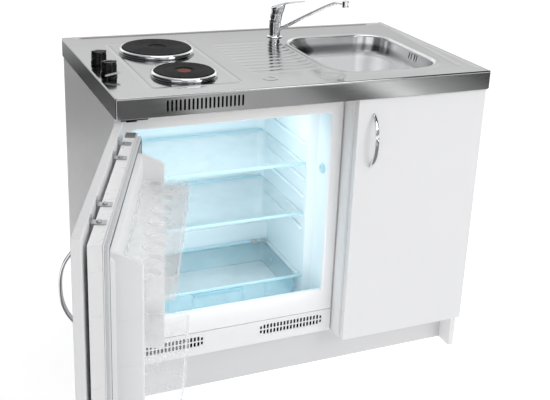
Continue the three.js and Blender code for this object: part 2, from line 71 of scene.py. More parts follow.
cam_data.clip_start, cam_data.clip_end = 0.05, 60

# ------------------------------------------------------------------ node helpers


def shader(name, color=(0.8, 0.8, 0.8), rough=0.5, metal=0.0, **sockets):
    m = bpy.data.materials.new(name)
    m.use_nodes = True
    nt = m.node_tree
    nt.nodes.clear()
    out = nt.nodes.new("ShaderNodeOutputMaterial")
    p = nt.nodes.new("ShaderNodeBsdfPrincipled")
    nt.links.new(p.outputs[0], out.inputs[0])
    p.inputs["Base Color"].default_value = (*color, 1)
    p.inputs["Roughness"].default_value = rough
    p.inputs["Metallic"].default_value = metal
    for k, v in sockets.items():
        p.inputs[k.replace("_", " ")].default_value = v
    m.diffuse_color = (*color, 1)
    return m, nt, p


def coords(nt, scale=(1, 1, 1)):
    tc = nt.nodes.new("ShaderNodeTexCoord")
    mp = nt.nodes.new("ShaderNodeMapping")
    mp.inputs["Scale"].default_value = scale
    nt.links.new(tc.outputs["Object"], mp.inputs["Vector"])
    return mp.outputs["Vector"]


def noise(nt, scale, vec=None, detail=3.0, rough=0.5):
    n = nt.nodes.new("ShaderNodeTexNoise")
    n.inputs["Scale"].default_value = scale
    n.inputs["Detail"].default_value = detail
    n.inputs["Roughness"].default_value = rough
    nt.links.new(vec or coords(nt), n.inputs["Vector"])
    return n.outputs["Fac"]


def remap(nt, sock, a, b, c, d):
    n = nt.nodes.new("ShaderNodeMapRange")
    for k, v in zip(("From Min", "From Max", "To Min", "To Max"), (a, b, c, d)):
        n.inputs[k].default_value = v
    nt.links.new(sock, n.inputs["Value"])
    return n.outputs["Result"]


def mix(nt, fac, a, b, mode="MIX"):
    n = nt.nodes.new("ShaderNodeMix")
    n.data_type = "RGBA"
    n.blend_type = mode
    for sock, v in ((n.inputs[0], fac), (n.inputs[6], a), (n.inputs[7], b)):
        if hasattr(v, "is_output"):
            nt.links.new(v, sock)
        elif isinstance(v, (int, float)):
            sock.default_value = v
        else:
            sock.default_value = (*v, 1)
    return n.outputs[2]


def math2(nt, op, a, b=0.0):
    n = nt.nodes.new("ShaderNodeMath")
    n.operation = op
    for sock, v in ((n.inputs[0], a), (n.inputs[1], b)):
        if hasattr(v, "is_output"):
            nt.links.new(v, sock)
        else:
            sock.default_value = v
    return n.outputs[0]


def axis(nt, i):
    tc = nt.nodes.new("ShaderNodeTexCoord")
    s = nt.nodes.new("ShaderNodeSeparateXYZ")
    nt.links.new(tc.outputs["Object"], s.inputs[0])
    return s.outputs[i]


def bump(nt, p, height, strength, dist=0.001, after=None):
    b = nt.nodes.new("ShaderNodeBump")
    b.inputs["Strength"].default_value = strength
    b.inputs["Distance"].default_value = dist
    nt.links.new(height, b.inputs["Height"])
    if after is not None:
        nt.links.new(after, b.inputs["Normal"])
    nt.links.new(b.outputs[0], p.inputs["Normal"])
    return b.outputs[0]


# ------------------------------------------------------------------ materials
MAT = {}


def steel_mat(name, grain, color, r0, r1, metal=1.0):
    m, nt, p = shader(name, color, r0, metal)
    lines = noise(nt, 1.0, coords(nt, grain), 4, 0.65)
    cloud = noise(nt, 5.0, None, 3, 0.55)
    nt.links.new(remap(nt, lines, 0.3, 0.7, r0, r1), p.inputs["Roughness"])
    tone = mix(nt, remap(nt, cloud, 0.35, 0.65, 0.0, 1.0), [c * 0.95 for c in color], [min(1, c * 1.04) for c in color])
    nt.links.new(mix(nt, remap(nt, lines, 0.3, 0.7, 0, 0.35), tone, [c * 0.93 for c in color]), p.inputs["Base Color"])
    bump(nt, p, lines, 0.03, 0.0002)
    return m


MAT["steel_top"] = steel_mat("steel_top", (9, 700, 700), (0.445, 0.448, 0.45), 0.09, 0.15)
MAT["steel_bowl"] = steel_mat("steel_bowl", (90, 90, 90), (0.80, 0.805, 0.81), 0.17, 0.23, 0.88)


def bowl_painted_reflections(m):
    """The far wall of the pressed bowl: a painted dark reflection as a grey band under the rim, and a painted bright
    reflection lower down.
    """
    nt = m.node_tree
    p = next(n for n in nt.nodes if n.type == "BSDF_PRINCIPLED")
    z, far = axis(nt, 2), remap(nt, axis(nt, 1), 0.20, 0.33, 0, 1)
    # painted reflection masks: a grey band under the rim of the far wall and near-white lower down, with metallic
    # shifted to match
    painted_dark_band = math2(nt, "MULTIPLY", remap(nt, z, 0.809, 0.819, 1, 0), remap(nt, z, 0.785, 0.799, 0, 1))
    painted_dark_band = math2(nt, "MULTIPLY", painted_dark_band, far)
    painted_bright_low = math2(nt, "MULTIPLY", remap(nt, z, 0.776, 0.790, 1, 0), far)
    was = p.inputs["Base Color"].links[0].from_socket
    nt.links.new(mix(nt, painted_bright_low, mix(nt, painted_dark_band, was, (0.29, 0.295, 0.30)), (0.95, 0.95, 0.955)), p.inputs["Base Color"])
    metal = math2(nt, "ADD", math2(nt, "MULTIPLY", painted_dark_band, 0.12), 0.88)
    nt.links.new(math2(nt, "SUBTRACT", metal, math2(nt, "MULTIPLY", painted_bright_low, 0.42)), p.inputs["Metallic"])


bowl_painted_reflections(MAT["steel_bowl"])


def chrome_mat():
    m, nt, p = shader("chrome_bright", (0.83, 0.84, 0.85), 0.05, 1.0)
    n = noise(nt, 60, None, 2)
    nt.links.new(remap(nt, n, 0.35, 0.7, 0.03, 0.10), p.inputs["Roughness"])
    bump(nt, p, noise(nt, 25, None, 1), 0.03, 0.0005)
    return m


MAT["chrome"] = chrome_mat()


def zinc_mat():
    m, nt, p = shader("zinc_plate", (0.42, 0.43, 0.44), 0.35, 0.9)
    v = nt.nodes.new("ShaderNodeTexVoronoi")
    v.inputs["Scale"].default_value = 420
    nt.links.new(coords(nt), v.inputs["Vector"])
    nt.links.new(mix(nt, remap(nt, v.outputs["Distance"], 0, 0.8, 0, 1), (0.36, 0.37, 0.38), (0.56, 0.57, 0.58)), p.inputs["Base Color"])
    nt.links.new(remap(nt, noise(nt, 150), 0.3, 0.7, 0.28, 0.5), p.inputs["Roughness"])
    return m


MAT["zinc"] = zinc_mat()


def melamine(name, color, rough=0.38):
    m, nt, p = shader(name, color, rough, 0.0, IOR=1.46)
    peel = noise(nt, 900, None, 2, 0.5)
    soft = noise(nt, 2.2, None, 2, 0.5)
    grime = noise(nt, 11, None, 4, 0.6)
    tone = mix(nt, remap(nt, soft, 0.35, 0.65, 0, 1), [c * 0.985 for c in color], color)
    nt.links.new(mix(nt, remap(nt, grime, 0.45, 0.8, 0, 0.35), tone, [c * 0.965 for c in color]), p.inputs["Base Color"])
    nt.links.new(remap(nt, noise(nt, 38, None, 3), 0.3, 0.7, rough - 0.06, rough + 0.08), p.inputs["Roughness"])
    bump(nt, p, peel, 0.10, 0.0003)
    return m


MAT["board"] = melamine("board_white", (0.855, 0.855, 0.86))
# a darker copy of the white board: painted shade for the plinth, which is the same white board set back in shade
MAT["board_painted_shade"] = melamine("board_plinth_painted_shade", (0.70, 0.70, 0.705))


def chipboard():
    m, nt, p = shader("board_raw", (0.55, 0.40, 0.24), 0.85)
    v = nt.nodes.new("ShaderNodeTexVoronoi")
    v.inputs["Scale"].default_value = 260
    nt.links.new(coords(nt, (0.6, 1, 1.4)), v.inputs["Vector"])
    c = mix(nt, remap(nt, v.outputs["Color"], 0.2, 0.8, 0, 1), (0.36, 0.24, 0.13), (0.70, 0.53, 0.33))
    nt.links.new(mix(nt, remap(nt, noise(nt, 30), 0.3, 0.7, 0, 0.4), c, (0.50, 0.37, 0.23)), p.inputs["Base Color"])
    bump(nt, p, v.outputs["Distance"], 0.4, 0.0008)
    return m


MAT["raw"] = chipboard()


def paint(name, color, rough=0.3, metal=0.0, ior=1.5):
    m, nt, p = shader(name, color, rough, metal, IOR=ior)
    peel = noise(nt, 420, None, 3, 0.55)
    nt.links.new(mix(nt, remap(nt, noise(nt, 4, None, 3), 0.3, 0.7, 0, 1), [c * 0.975 for c in color], color), p.inputs["Base Color"])
    nt.links.new(remap(nt, noise(nt, 60), 0.3, 0.7, rough - 0.05, rough + 0.09), p.inputs["Roughness"])
    bump(nt, p, peel, 0.16, 0.0004)
    return m


MAT["paint_white"] = paint("paint_white", (0.90, 0.90, 0.90))
MAT["paint_black"] = paint("paint_black", (0.018, 0.018, 0.02), 0.42)
MAT["plastic_white"] = paint("plastic_white", (0.88, 0.885, 0.89), 0.36)
MAT["plastic_grey"] = paint("plastic_grey", (0.50, 0.52, 0.53), 0.5)
MAT["plastic_black"] = paint("plastic_black", (0.007, 0.007, 0.008), 0.26, 0.0, 1.36)
MAT["gasket"] = paint("gasket_grey", (0.66, 0.68, 0.69), 0.55)
# a near-black copy of the grey gasket rubber: painted shade for the gasket's front face in the gap
MAT["gasket_painted_shade"] = paint("gasket_lip_painted_shade", (0.09, 0.09, 0.095), 0.6)


def iron(name, cx, cy):
    m, nt, p = shader(name, (0.020, 0.020, 0.021), 0.55, 0.0, IOR=1.18)
    x = math2(nt, "SUBTRACT", axis(nt, 0), cx)
    y = math2(nt, "SUBTRACT", axis(nt, 1), cy)
    r = math2(nt, "SQRT", math2(nt, "ADD", math2(nt, "MULTIPLY", x, x), math2(nt, "MULTIPLY", y, y)))
    rings = math2(nt, "SINE", math2(nt, "MULTIPLY", r, 2 * math.pi / 0.0022))
    grain = noise(nt, 700, None, 3, 0.6)
    nt.links.new(mix(nt, remap(nt, noise(nt, 22, None, 4, 0.6), 0.35, 0.7, 0, 1), (0.007, 0.007, 0.008), (0.017, 0.0165, 0.0165)), p.inputs["Base Color"])
    nt.links.new(remap(nt, grain, 0.3, 0.7, 0.42, 0.66), p.inputs["Roughness"])
    first = bump(nt, p, rings, 0.25, 0.0003)
    bump(nt, p, grain, 0.30, 0.0004, first)
    return m


def clear(name, color, alpha, rough, frost=0.0):
    m, nt, p = shader(name, color, rough, 0.0, IOR=1.49, Alpha=alpha)
    n = noise(nt, 14, None, 3, 0.5)
    nt.links.new(remap(nt, n, 0.3, 0.7, max(0.0, alpha - 0.05), min(1.0, alpha + 0.05)), p.inputs["Alpha"])
    nt.links.new(remap(nt, noise(nt, 90), 0.3, 0.7, rough, rough + 0.08 + frost), p.inputs["Roughness"])
    bump(nt, p, noise(nt, 12, None, 1), 0.02, 0.0005)
    return m


MAT["clear_bin"] = clear("plastic_clear", (0.97, 0.975, 0.98), 0.27, 0.24, 0.08)
MAT["clear_egg"] = clear("plastic_clear_thin", (0.93, 0.945, 0.95), 0.30, 0.24, 0.08)
MAT["clear_blue"] = clear("plastic_clear_blue", (0.46, 0.80, 0.92), 0.40, 0.14)
MAT["glass"] = clear("glass_clear", (0.78, 0.93, 0.97), 0.12, 0.05)
MAT["glass_edge"] = clear("glass_edge", (0.45, 0.78, 0.86), 0.85, 0.08)
MAT["trim_blue"] = paint("shelf_trim", (0.50, 0.74, 0.82), 0.3)


def foam():
    m, nt, p = shader("foam", (0.78, 0.75, 0.66), 0.95)
    v = nt.nodes.new("ShaderNodeTexVoronoi")
    v.inputs["Scale"].default_value = 500
    nt.links.new(coords(nt), v.inputs["Vector"])
    nt.links.new(mix(nt, remap(nt, noise(nt, 9), 0.3, 0.7, 0, 1), (0.70, 0.675, 0.59), (0.82, 0.80, 0.72)), p.inputs["Base Color"])
    bump(nt, p, v.outputs["Distance"], 0.5, 0.001)
    return m


MAT["foam"] = foam()


def liner_mat():
    # white at the front rim; inside the cavity a painted pale blue cast of the cold interior light, with painted shade
    # making it darker and bluer towards the back
    m, nt, p = shader("liner", (0.8, 0.9, 0.95), 0.34, 0.0, IOR=1.48)
    depth = remap(nt, axis(nt, 1), -0.0165, 0.004, 0, 1)
    # painted light: a blue cast inside the cavity, darker towards the back as painted shade
    painted_depth_shade = remap(nt, axis(nt, 1), 0.02, 0.38, 0, 1)
    inner = mix(nt, painted_depth_shade, (0.81, 0.905, 0.94), (0.76, 0.885, 0.93))
    inner = mix(nt, remap(nt, noise(nt, 3.0, None, 2), 0.35, 0.65, 0, 1), inner, mix(nt, 0.5, inner, (0.79, 0.90, 0.935)))
    nt.links.new(mix(nt, depth, (0.89, 0.895, 0.90), inner), p.inputs["Base Color"])
    nt.links.new(remap(nt, noise(nt, 70), 0.3, 0.7, 0.28, 0.42), p.inputs["Roughness"])
    bump(nt, p, noise(nt, 380, None, 2), 0.10, 0.0004)
    return m


MAT["liner"] = liner_mat()
# black for the dark inside of slots, holes and openings: painted shade
MAT["painted_shade_black"] = paint("painted_shade_black", (0.004, 0.004, 0.0045), 0.85, 0.0, 1.06)
MAT["red_dot"] = paint("red_dot", (0.20, 0.032, 0.014), 0.55, 0.0, 1.33)
# pale grey lens colour: painted highlight on the pilot lamp
MAT["lamp_lens_painted_highlight"] = paint("lamp_lens_painted_highlight", (0.60, 0.60, 0.60), 0.14)
MAT["mark_white"] = paint("mark_white", (0.72, 0.72, 0.72), 0.4)

# ------------------------------------------------------------------ mesh helpers (millimetres in, metres out)


class Geo:
    def __init__(self):
        self.v, self.f, self.m = [], [], []

    def add(self, verts, faces, mat=0):
        n = len(self.v)
        self.v.extend([tuple(map(float, v)) for v in verts])
        self.f.extend([tuple(n + i for i in f) for f in faces])
        self.m.extend([mat] * len(faces))
        return self


def make(name, geo, mats, *nodes, angle=35, body=None, slot=None, bevel=0, segs=2, weld=True, move=None):
    me = bpy.data.meshes.new(name)
    v = np.array(geo.v, float) / 1000.0
    me.from_pydata(v.tolist(), [], geo.f)
    for m in mats:
        me.materials.append(MAT[m] if isinstance(m, str) else m)
    me.polygons.foreach_set("material_index", geo.m)
    bm = bmesh.new()
    bm.from_mesh(me)
    if weld:
        bmesh.ops.remove_doubles(bm, verts=bm.verts, dist=0.00002)
        bmesh.ops.dissolve_degenerate(bm, edges=bm.edges, dist=0.000005)
    if move is not None:
        bmesh.ops.transform(bm, matrix=move, verts=bm.verts)
    bmesh.ops.recalc_face_normals(bm, faces=bm.faces)
    bm.to_mesh(me)
    bm.free()
    me.polygons.foreach_set("use_smooth", [True] * len(me.polygons))
    me.set_sharp_from_angle(angle=math.radians(angle))
    o = bpy.data.objects.new(name, me)
    bpy.context.scene.collection.objects.link(o)
    if bevel:
        b = o.modifiers.new("edges", "BEVEL")
        b.width, b.segments, b.limit_method, b.angle_limit = bevel / 1000, segs, "ANGLE", math.radians(40)
        b.harden_normals = False
        b.use_clamp_overlap = True
    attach(o, body or BODY[nodes[0]])
    if nodes:
        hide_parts(*nodes)
    return o


def lathe(profile, cx, cy, n=72, geo=None, mat=0, z0=0.0):
    geo = geo or Geo()
    v, f = [], []
    fine = [profile[0]]
    for a, b in zip(profile, profile[1:]):  # extra rings keep the long faces straight when shaded
        L = math.hypot(b[0] - a[0], b[1] - a[1])
        if L > 2.5:
            fine += [(a[0] + (b[0] - a[0]) * 0.35 / L, a[1] + (b[1] - a[1]) * 0.35 / L), (b[0] - (b[0] - a[0]) * 0.35 / L, b[1] - (b[1] - a[1]) * 0.35 / L)]
        fine.append(b)
    profile = fine
    for r, z in profile:
        for i in range(n):
            a = 2 * math.pi * i / n
            v.append((cx + r * math.cos(a), cy + r * math.sin(a), z + z0))
    for k in range(len(profile) - 1):
        for i in range(n):
            j = (i + 1) % n
            f.append((k * n + i, k * n + j, (k + 1) * n + j, (k + 1) * n + i))
    geo.add(v, f, mat)
    return geo


def fillet(pts, r, n=5, closed=False):
    """Rounds the corners of a 2D polyline. r is one radius or one per point."""
    out = []
    m = len(pts)
    for i, p in enumerate(pts):
        rad = r[i] if isinstance(r, (list, tuple)) else r
        if (not closed and i in (0, m - 1)) or rad <= 0:
            out.append(tuple(p))
            continue
        a, b, c = np.array(pts[i - 1], float), np.array(p, float), np.array(pts[(i + 1) % m], float)
        u, w = a - b, c - b
        lu, lw = np.linalg.norm(u), np.linalg.norm(w)
        if lu < 1e-6 or lw < 1e-6:
            out.append(tuple(p))
            continue
        u, w = u / lu, w / lw
        ang = math.acos(max(-1, min(1, float(u @ w))))
        if ang > math.pi - 0.02:
            out.append(tuple(p))
            continue
        t = min(rad / math.tan(ang / 2), lu * 0.49, lw * 0.49)
        rr = t * math.tan(ang / 2)
        ctr = b + (u + w) / np.linalg.norm(u + w) * (rr / math.sin(ang / 2))
        s, e = b + u * t - ctr, b + w * t - ctr
        a0 = math.atan2(s[1], s[0])
        da = math.atan2(s[0] * e[1] - s[1] * e[0], float(s @ e))
        for k in range(n + 1):
            q = a0 + da * k / n
            out.append((ctr[0] + rr * math.cos(q), ctr[1] + rr * math.sin(q)))
    return out


def rrect(x0, x1, y0, y1, r, n=8):
    return fillet([(x0, y0), (x1, y0), (x1, y1), (x0, y1)], max(r, 0.01), n, True)


def loft(rings, geo=None, mat=0, cap0=False, cap1=False, closed=True):
    geo = geo or Geo()
    n = len(rings[0])
    v = [p for ring in rings for p in ring]
    f = []
    for k in range(len(rings) - 1):
        for i in range(n if closed else n - 1):
            j = (i + 1) % n
            f.append((k * n + i, k * n + j, (k + 1) * n + j, (k + 1) * n + i))
    if cap0:
        f.append(tuple(reversed(range(n))))
    if cap1:
        f.append(tuple((len(rings) - 1) * n + i for i in range(n)))
    geo.add(v, f, mat)
    return geo


def tube(path, radius, n=20, geo=None, mat=0, caps=True, flat=None):
    """Sweeps a circle (or an ellipse flat=(w, h)) along a 3D path."""
    P = [Vector(p) for p in path]
    rings = []
    prev = None
    for i, p in enumerate(P):
        t = (P[min(i + 1, len(P) - 1)] - P[max(i - 1, 0)]).normalized()
        if prev is None:
            ref = Vector((0, 0, 1)) if abs(t.z) < 0.9 else Vector((1, 0, 0))
            u = t.cross(ref).normalized()
        else:
            u = (prev - t * prev.dot(t)).normalized()
        prev = u
        w = t.cross(u)
        r = radius[i] if isinstance(radius, (list, tuple)) else radius
        a, b = (flat if flat else (1, 1))
        rings.append([tuple(p + (u * math.cos(2 * math.pi * k / n) * a + w * math.sin(2 * math.pi * k / n) * b) * r) for k in range(n)])
    return loft(rings, geo, mat, caps, caps)


def spline(pts, per=8):
    """Catmull-Rom through the points."""
    P = [np.array(p, float) for p in pts]
    P = [2 * P[0] - P[1]] + P + [2 * P[-1] - P[-2]]
    out = []
    for i in range(1, len(P) - 2):
        for k in range(per):
            t = k / per
            a, b, c, d = P[i - 1], P[i], P[i + 1], P[i + 2]
            out.append(tuple(0.5 * (2 * b + (c - a) * t + (2 * a - 5 * b + 4 * c - d) * t * t + (3 * b - a - 3 * c + d) * t ** 3)))
    out.append(tuple(P[-2]))
    return out


def inside(pt, poly):
    x, y = pt
    c = False
    j = len(poly) - 1
    for i in range(len(poly)):
        xi, yi = poly[i]
        xj, yj = poly[j]
        if (yi > y) != (yj > y) and x < (xj - xi) * (y - yi) / (yj - yi) + xi:
            c = not c
        j = i
    return c


def plate(outer, holes, w0, w1, place, geo=None, mat=0, rim=True):
    """A flat plate with holes between w0 and w1; place(u, v, w) gives the 3D point."""
    geo = geo or Geo()
    loops = [outer] + list(holes)
    pts, edges = [], []
    for lp in loops:
        s = len(pts)
        pts += [Vector((p[0], p[1])) for p in lp]
        edges += [(s + i, s + (i + 1) % len(lp)) for i in range(len(lp))]
    v2, _, tri, *_ = delaunay_2d_cdt(pts, edges, [], 0, 1e-5)
    keep = []
    boxes = [(min(p[0] for p in h), max(p[0] for p in h), min(p[1] for p in h), max(p[1] for p in h), h) for h in holes]
    for t in tri:
        c = ((v2[t[0]].x + v2[t[1]].x + v2[t[2]].x) / 3, (v2[t[0]].y + v2[t[1]].y + v2[t[2]].y) / 3)
        if not inside(c, outer):
            continue
        if any(b[0] <= c[0] <= b[1] and b[2] <= c[1] <= b[3] and inside(c, b[4]) for b in boxes):
            continue
        keep.append(tuple(t))
    for w in (w0, w1):
        geo.add([place(p.x, p.y, w) for p in v2], keep, mat)
    for lp in loops if rim else loops[1:]:
        n = len(lp)
        v = [place(p[0], p[1], w0) for p in lp] + [place(p[0], p[1], w1) for p in lp]
        geo.add(v, [(i, (i + 1) % n, n + (i + 1) % n, n + i) for i in range(n)], mat)
    return geo


XY = lambda u, v, w: (u, v, w)
XZ = lambda u, v, w: (u, w, v)
YZ = lambda u, v, w: (w, u, v)


def block(x0, x1, y0, y1, z0, z1, r=2.0, geo=None, mat=0, up="z", n=4):
    """A box with rounded edges: a rounded outline lofted through a rounded profile along one axis."""
    geo = geo or Geo()
    perm = {"z": lambda a, b, c: (a, b, c), "y": lambda a, b, c: (a, c, b), "x": lambda a, b, c: (c, a, b)}[up]
    if up == "z":
        a0, a1, b0, b1, c0, c1 = x0, x1, y0, y1, z0, z1
    elif up == "y":
        a0, a1, b0, b1, c0, c1 = x0, x1, z0, z1, y0, y1
    else:
        a0, a1, b0, b1, c0, c1 = y0, y1, z0, z1, x0, x1
    r = min(r, (a1 - a0) / 2.05, (b1 - b0) / 2.05, (c1 - c0) / 2.05)
    rings = []
    for k in range(n + 1):
        q = math.pi / 2 * k / n
        d = r * (1 - math.sin(q))
        rings.append([perm(u, v, c0 + r * (1 - math.cos(q))) for u, v in rrect(a0 + d, a1 - d, b0 + d, b1 - d, max(r - d, 0.02) + r * 0.3, n)])
    for k in range(n + 1):
        q = math.pi / 2 * k / n
        d = r * (1 - math.cos(q))
        rings.append([perm(u, v, c1 - r * (1 - math.sin(q))) for u, v in rrect(a0 + d, a1 - d, b0 + d, b1 - d, max(r - d, 0.02) + r * 0.3, n)])
    return loft(rings, geo, mat, True, True)


def copy_node(node, mat, bevel=1.0, segs=2, angle=30, name=None):
    """A clean copy of a CAD node with its facets joined and its edges rounded."""
    src = NODES[node].data
    bm = bmesh.new()
    bm.from_mesh(src)
    bmesh.ops.remove_doubles(bm, verts=bm.verts, dist=0.00003)
    bmesh.ops.dissolve_limit(bm, angle_limit=math.radians(1.0), verts=bm.verts, edges=bm.edges)
    me = bpy.data.meshes.new(name or node + "_look")
    bm.to_mesh(me)
    bm.free()
    me.materials.clear()
    me.materials.append(MAT[mat] if isinstance(mat, str) else mat)
    me.polygons.foreach_set("use_smooth", [True] * len(me.polygons))
    me.polygons.foreach_set("material_index", [0] * len(me.polygons))
    me.set_sharp_from_angle(angle=math.radians(angle))
    o = bpy.data.objects.new(name or node + "_look", me)
    bpy.context.scene.collection.objects.link(o)
    if bevel:
        b = o.modifiers.new("edges", "BEVEL")
        b.width, b.segments, b.limit_method, b.angle_limit = bevel / 1000, segs, "ANGLE", math.radians(40)
        b.use_clamp_overlap = True
    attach(o, BODY[node])
    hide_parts(node)
    return o


# door pieces are drawn closed and then swung open about the hinge edge
DOOR = Matrix.Translation((-0.5, -0.081, 0)) @ Matrix.Rotation(math.radians(-110.8), 4, "Z") @ Matrix.Translation((0.5, 0.081, 0))

# ------------------------------------------------------------------ worktop
BOWL = (94, 405, -9, 370, 80)
WELL = (132, 396, -1, 363, 80)
TAP = (85, 396)
HOB = [(-292, 303, 91.0), (-293, 64, 74.0)]


def step(a, b, x):
    t = np.clip((x - a) / (b - a), 0, 1)
    return t * t * (3 - 2 * t)


def rrect_dist(x, y, x0, x1, y0, y1, r):
    """Signed distance to a rounded rectangle, negative inside."""
    cx, cy, hx, hy = (x0 + x1) / 2, (y0 + y1) / 2, (x1 - x0) / 2 - r, (y1 - y0) / 2 - r
    qx, qy = np.abs(x - cx) - hx, np.abs(y - cy) - hy
    return np.hypot(np.maximum(qx, 0), np.maximum(qy, 0)) + np.minimum(np.maximum(qx, qy), 0) - r


RIBS = [341 - 29.6 * i for i in range(11)]


def top_height(x, y):
    h = np.zeros_like(x)
    d_bowl = rrect_dist(x, y, *BOWL)
    d_tap = np.hypot(x - TAP[0], y - TAP[1])
    for yc in RIBS:
        bead = np.exp(-((y - yc) / 5.2) ** 2)
        h += 1.0 * bead * step(-128, -100, x) * (1 - step(56, 74, x)) * step(12, 24, d_bowl)
    # thin bead round the hob field
    d = rrect_dist(x, y, -401, -180, -32, 414, 14)
    h += 1.2 * np.exp(-(d / 2.6) ** 2)
    # channel along the back and the right end, and the raised edge outside it
    back_line = 1.1 * np.exp(-((y - 487.5) / 3.6) ** 2) * step(-462, -446, x) * (1 - step(426, 440, x))
    h -= 2.4 * back_line
    h += 1.0 * step(490, 497, y) * (1 - step(502, 506, y)) * step(-470, -452, x)
    xr = 486 + 0 * y
    xi = 444 + (y + 20) * (486 - 444) / 497.0
    h -= 1.6 * step(-30, 0, y) * (1 - step(470, 484, y)) * np.exp(-((x - xi) / 3.6) ** 2)
    h += 1.1 * step(xr - 5, xr + 1, x) * (1 - step(492, 496, x)) * step(-60, -20, y)
    # pressed ring around the bowl
    h += 0.8 * np.exp(-((d_bowl - 13) / 3.4) ** 2) * (1 - np.exp(-(d_tap / 34) ** 4))
    # two round pressed marks near the front edge
    for cx, cy, rr, dep in ((-99, -15, 15, 0.8), (62, -31, 27, 1.3)):
        dd = np.hypot(x - cx, y - cy)
        h -= dep * np.exp(-((dd - rr) / 2.6) ** 2)
    dd = np.hypot(x - 62, y + 31)
    h -= 1.0 * (1 - step(14, 22, dd))
    edge = np.minimum(np.minimum(x + 497, 497 - x), np.minimum(y + 87, 507 - y))
    h *= step(0, 4, edge)
    for cx, cy, rr in HOB:
        dd = np.hypot(x - cx, y - cy)
        h *= step(rr + 1, rr + 9, dd)
    return h


def snap_outline(poly, pts):
    """Nearest point of a closed polyline for each of pts (n, 2)."""
    a = np.array(poly, float)
    b = np.roll(a, -1, axis=0)
    out = np.empty_like(pts)
    for i, p in enumerate(pts):
        ab = b - a
        t = np.clip(((p - a) * ab).sum(1) / np.maximum((ab * ab).sum(1), 1e-12), 0, 1)
        q = a + ab * t[:, None]
        out[i] = q[np.argmin(((q - p) ** 2).sum(1))]
    return out


def worktop():
    geo = Geo()
    s = 3.0
    xs = np.linspace(-497, 497, int(994 / s) + 1)
    ys = np.linspace(-87, 507, int(594 / s) + 1)
    X, Y = np.meshgrid(xs, ys)
    nx, ny = len(xs), len(ys)
    rim = rrect(BOWL[0] - 8, BOWL[1] + 8, BOWL[2] - 8, BOWL[3] + 8, BOWL[4] + 8, 28)
    holes = [(rim, lambda x, y: rrect_dist(x, y, BOWL[0] - 8, BOWL[1] + 8, BOWL[2] - 8, BOWL[3] + 8, BOWL[4] + 8))]
    for cx, cy, rr in HOB:
        circ = [(cx + (rr + 0.6) * math.cos(2 * math.pi * i / 96), cy + (rr + 0.6) * math.sin(2 * math.pi * i / 96)) for i in range(96)]
        holes.append((circ, lambda x, y, cx=cx, cy=cy, rr=rr: np.hypot(x - cx, y - cy) - rr - 0.6))
    px, py = X.ravel().copy(), Y.ravel().copy()
    idx = np.arange(nx * ny).reshape(ny, nx)
    quads = np.stack([idx[:-1, :-1], idx[:-1, 1:], idx[1:, 1:], idx[1:, :-1]], -1).reshape(-1, 4)
    cxs, cys = px[quads].mean(1), py[quads].mean(1)
    keep = np.ones(len(quads), bool)
    for outline, dist in holes:
        keep &= dist(cxs, cys) > 0
    gone = quads[~keep]
    quads = quads[keep]
    border = np.intersect1d(np.unique(gone), np.unique(quads))
    for outline, dist in holes:
        near = border[np.abs(dist(px[border], py[border])) < s * 1.5]
        q = snap_outline(outline, np.stack([px[near], py[near]], 1))
        px[near], py[near] = q[:, 0], q[:, 1]
    pz = 840 + top_height(px, py)
    geo.add(np.stack([px, py, pz], 1), [tuple(q) for q in quads.tolist()])
    # turned-down edge: a rounded outline lofted down the profile
    n = 5
    base = rrect(-500, 500, -90, 510, 3.2, n)
    per = []
    for i, p in enumerate(base):  # more points along the straight sides near the corners
        q = base[(i + 1) % len(base)]
        per.append(p)
        L = math.hypot(q[0] - p[0], q[1] - p[1])
        if L > 100:
            cuts = [2, 4, 6, 8, 10, 13] + ([] if abs(q[1] - p[1]) > 1 or p[1] > 0 else [98, 340])
            ds = sorted(cuts + [L - c for c in (2, 4, 6, 8, 10, 13)])
            per += [(p[0] + (q[0] - p[0]) * d / L, p[1] + (q[1] - p[1]) * d / L) for d in ds]
    per = np.array(per)
    cen = np.array([0.0, 210.0])

    def off(d):
        h = np.array([500.0, 300.0])
        rel = per - cen
        return cen + rel * (h - d) / h

    prof = [(3.0, 840)] + [(3 - 3 * math.sin(math.pi / 2 * k / 4), 837 + 3 * math.cos(math.pi / 2 * k / 4)) for k in range(1, 5)]
    prof += [(0, 834), (0, 797)]
    rings = []
    for d, z in prof:
        rings.append([(x, y, z) for x, y in off(d)])
    corner = []
    for x, y in per:
        dx, dy = 500 - abs(x), 300 - abs(y - 210)
        along = max(dx, dy)
        corner.append(7 * (1 - math.sqrt(max(0.0, 1 - (1 - min(along, 9) / 9) ** 2))) if along < 9 else 0)
    for d, z in ((0, 790.0), (0.8, 789), (2.2, 789.3), (2.4, 800)):
        rings.append([(x, y, z + c) for (x, y), c in zip(off(d), corner)])
    loft(rings, geo)
    v = np.array(geo.v)
    faces, mats = [], []
    x0, x1 = None, None
    front = [p[0] for p in per if abs(p[1] + 90) < 0.01]
    lo = max(p for p in front if p < -390)
    hi = min(p for p in front if -190 < p < 0)
    for f, m in zip(geo.f, geo.m):
        c = v[list(f)].mean(0)
        if abs(c[1] + 90) < 0.05 and lo < c[0] < hi and 797 < c[2] < 834:
            continue
        faces.append(f)
        mats.append(m)
    geo.f, geo.m = faces, mats
    slots = []
    for i in range(19):
        cx = -380.5 + 10.15 * i
        slots.append(rrect(cx - 2.5, cx + 2.5, 801, 828, 2.4, 5))
    plate([(lo, 797), (hi, 797), (hi, 834), (lo, 834)], slots, -90, -88.45, XZ, geo, 0, False)
    # a black sheet just behind the vent slots: painted shade for the dark inside of the apron
    plate([(lo - 10, 798), (hi + 10, 798), (hi + 10, 832), (lo - 10, 832)], [], -88.4, -88.3, XZ, geo, 1)
    o = make("worktop_steel", geo, ["steel_top", "painted_shade_black"], "worktop_sheet", angle=38)
    return o


worktop()
copy_node("worktop_core", "raw", 0.4, 1)


